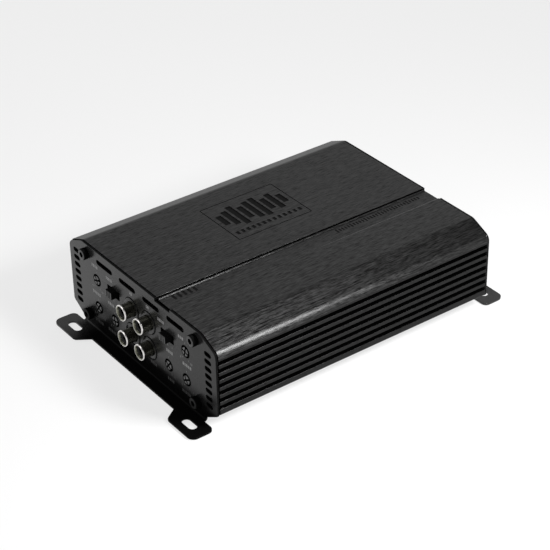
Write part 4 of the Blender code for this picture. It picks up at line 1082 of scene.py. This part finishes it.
def make_speaker_connector():
    low, high = box_of("speaker_socket")
    centre, size = (low + high) / 2, high - low
    socket = block_of("socket", low, high)
    hollow = blocks("hollow", ((size.x - 3.0, 23.0, size.z - 3.0), (centre.x, high.y, centre.z)))
    keys = [blocks("key", ((1.6, 5.0, 1.2), (centre.x + x, high.y, high.z - 1.4))) for x in (-9.0, 9.0)]
    socket = smooth(shaped(socket, cuts=[hollow] + keys, ease=0.25), 30)
    piece("speaker_socket_moulding", socket, BLACK, "speaker_socket")
    low, high = box_of("speaker_plug")
    middle = (low + high) / 2
    spots = [(middle.x + i * PLUG_PITCH, middle.z + j * PLUG_PITCH)
             for i in PLUG_COLUMNS for j in (-0.5, 0.5)]
    holes = [blocks("cavity", ((3.4, 8.0, 3.4), (x, high.y, z))) for x, z in spots]
    ribs = [blocks("grip", ((0.8, 4.5, 9.0), (x, high.y - 3.4, middle.z))) for x in (low.x, high.x)]
    plug = smooth(shaped(block_of("plug", low, high), cuts=holes + ribs, ease=0.3), 30)
    piece("speaker_plug_moulding", plug, PLUG, "speaker_plug", "speaker_plug")
    crimps = blocks("crimps", *[((2.4, 1.6, 2.4), (x, high.y - 3.3, z)) for x, z in spots])
    piece("speaker_plug_crimps", smooth(shaped(crimps, ease=0.5)), TIN, None, "speaker_plug")


def make_status_light():
    """A domed lens with a flange behind the panel."""
    profile = [(0, 1.6)] + arc((0, 0.1), 1.5, 80, 0, 8) + [(1.5, -1.6), (2.0, -1.6), (2.0, -6.0), (0, -6.0)]
    piece("status_light_lens", smooth(lathe("lens", profile, 40), 40), LENS, "status_light",
          "case", (LIGHT[0], FACE, LIGHT[1]), ALONG_REAR)


def make_rear_print():
    """Plus, minus and dots over the clamps, a dash over each plug column, bars at the light and fuses."""
    x, z, line = -CLAMPS["battery"], 22.1, 0.45
    loops = [box_loop((x, z), 1.9, line), box_loop((x, z + 0.62), line, 0.79),
             box_loop((x, z - 0.62), line, 0.79), box_loop((-CLAMPS["ground"], z), 1.9, line)]
    loops += bar_marks(-CLAMPS["remote"], z, (0.6, 0.6, 0.6), 0.6)
    for i in PLUG_COLUMNS:
        loops += bar_marks(20.0 + i * PLUG_PITCH, 26.6, (2.0,), 0.5)
    loops += bar_marks(25.0, LIGHT[1], (1.2, 2.2, 1.2), 1.0)
    for z in reversed(FUSE_ZS):
        loops += bar_marks(-7.0, z, (1.2, 1.2), 1.0)
    mesh = moved(plate("rear_print", loops, INK), (0, FACE + INK_GAP, 0), ALONG_REAR)
    piece("rear_panel_print", mesh, PRINT)


# ---- inside

def dress(look, *nodes):
    """Gives CAD nodes that keep their shape a finished material."""
    for node in nodes:
        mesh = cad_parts[node].data
        mesh.materials.clear()
        mesh.materials.append(look)


def make_board_parts():
    """Rows of chips on the boards, glimpsed through the openings."""
    chips = []
    for i in range(6):
        chips.append(((5.0, 3.9, 1.5), (-30.0 + 12.0 * i, -30.0, 8.9)))
        chips.append(((1.6, 0.8, 0.6), (-33.0 + 12.0 * i, -24.0, 8.4)))
    chips += [((3.0, 6.2, 1.4), (-32.0 + 16.0 * i, -48.0, 24.0)) for i in range(5)]
    mesh = shaped(blocks("chips", *chips), ease=0.12, segments=1)
    piece("board_chips", smooth(mesh), EPOXY)


make_housing()
make_cover()
make_panels()
make_front_print()
make_screws()
make_knobs()
make_switches()
make_jacks()
make_terminal_block()
make_fuses()
make_speaker_connector()
make_status_light()
make_rear_print()
make_board_parts()
dress(BOARD, "main_board", "preamp_board")
dress(FILM, "insulator_sheet")
# Painted shade: the pots seen round the knobs are near-black.
dress(SHADED, *[knob + "_pot" for knob in KNOBS])
dress(BLACK, "board_header")
dress(FERRITE, "transformer_core", "output_inductor")
dress(COPPER, "transformer_winding")
dress(SLEEVE, "left_capacitor", "right_capacitor")
dress(EPOXY, *[f"{side}_{end}_transistor" for side in ("left", "right") for end in ("front", "rear")])


# ---- floor, light and camera

FLOOR_DROP = -0.0004
FLOOR_GLOW = 0.69
SKY = (("From Min", 0.35), ("From Max", 0.95), ("To Min", 0.87), ("To Max", 0.06))
CAMERA_SPOT = (0.5715, -0.4197, 0.4769)
CAMERA_FORWARD = (-0.67908, 0.49549, -0.54160)
CAMERA_DOWN = (0.42666, -0.33396, -0.84050)
CAMERA_LENS = 116.4


def floor_look():
    """Pale matt studio floor. Seen from below it is clear."""
    look = Look("studio_floor", Roughness=0.9)
    shade = look.noise(3, 2.0)
    look.colour(shade, grey(0.19), grey(0.21))
    look.shader.inputs["Emission Color"].default_value = (1, 1, 1, 1)
    look.shader.inputs["Emission Strength"].default_value = FLOOR_GLOW
    links = look.tree.links
    clear = look.add("BsdfTransparent")
    side = look.add("NewGeometry")
    blend = look.add("MixShader")
    links.new(side.outputs["Backfacing"], blend.inputs[0])
    links.new(look.shader.outputs[0], blend.inputs[1])
    links.new(clear.outputs[0], blend.inputs[2])
    links.new(blend.outputs[0], look.tree.nodes["Material Output"].inputs["Surface"])
    return look.material


def make_floor():
    bm = bmesh.new()
    bmesh.ops.create_circle(bm, cap_ends=True, radius=6.0, segments=96)
    floor = linked("studio_floor", painted(finished(bm, "studio_floor"), floor_look()))
    floor.location.z = FLOOR_DROP


def add_area(name, place, target, size, power):
    light = bpy.data.lights.new(name, "AREA")
    light.size = size
    light.energy = power
    lamp = linked(name, light)
    lamp.location = place
    lamp.rotation_mode = "QUATERNION"
    lamp.rotation_quaternion = (Vector(target) - Vector(place)).to_track_quat("-Z", "Y")


def make_lights():
    """A sky that darkens overhead, a broad soft light, and a small one for the shoulder's highlight."""
    world = bpy.data.worlds.new("studio")
    world.use_nodes = True
    nodes, links = world.node_tree.nodes, world.node_tree.links
    direction = nodes.new("ShaderNodeTexCoord").outputs["Generated"]
    height = nodes.new("ShaderNodeSeparateXYZ")
    fade = nodes.new("ShaderNodeMapRange")
    fade.interpolation_type = "SMOOTHSTEP"
    for name, value in SKY:
        fade.inputs[name].default_value = value
    links.new(direction, height.inputs[0])
    links.new(height.outputs[2], fade.inputs["Value"])
    links.new(fade.outputs[0], nodes["Background"].inputs["Strength"])
    nodes["Background"].inputs["Color"].default_value = (1, 1, 1, 1)
    bpy.context.scene.world = world
    add_area("overhead", (-0.3, -0.8, 1.2), (0, 0, 0), 1.0, 5)
    add_area("edge", (0.25, 0.067, 0.24), (0.06, -0.07, 0.04), 0.09, 2.2)


def make_camera():
    camera = bpy.data.cameras.new("camera")
    camera.sensor_width = 36.0
    camera.lens = CAMERA_LENS
    obj = linked("camera", camera)
    forward = Vector(CAMERA_FORWARD).normalized()
    right = Vector(CAMERA_DOWN).cross(forward).normalized()
    axes = Matrix((right, right.cross(forward).normalized(), -forward)).transposed()
    obj.matrix_world = Matrix.Translation(CAMERA_SPOT) @ axes.to_4x4()
    camera.clip_start = 0.01
    camera.clip_end = 50.0
    bpy.context.scene.camera = obj


make_floor()
make_lights()
make_camera()
bpy.context.scene.view_settings.view_transform = "Standard"
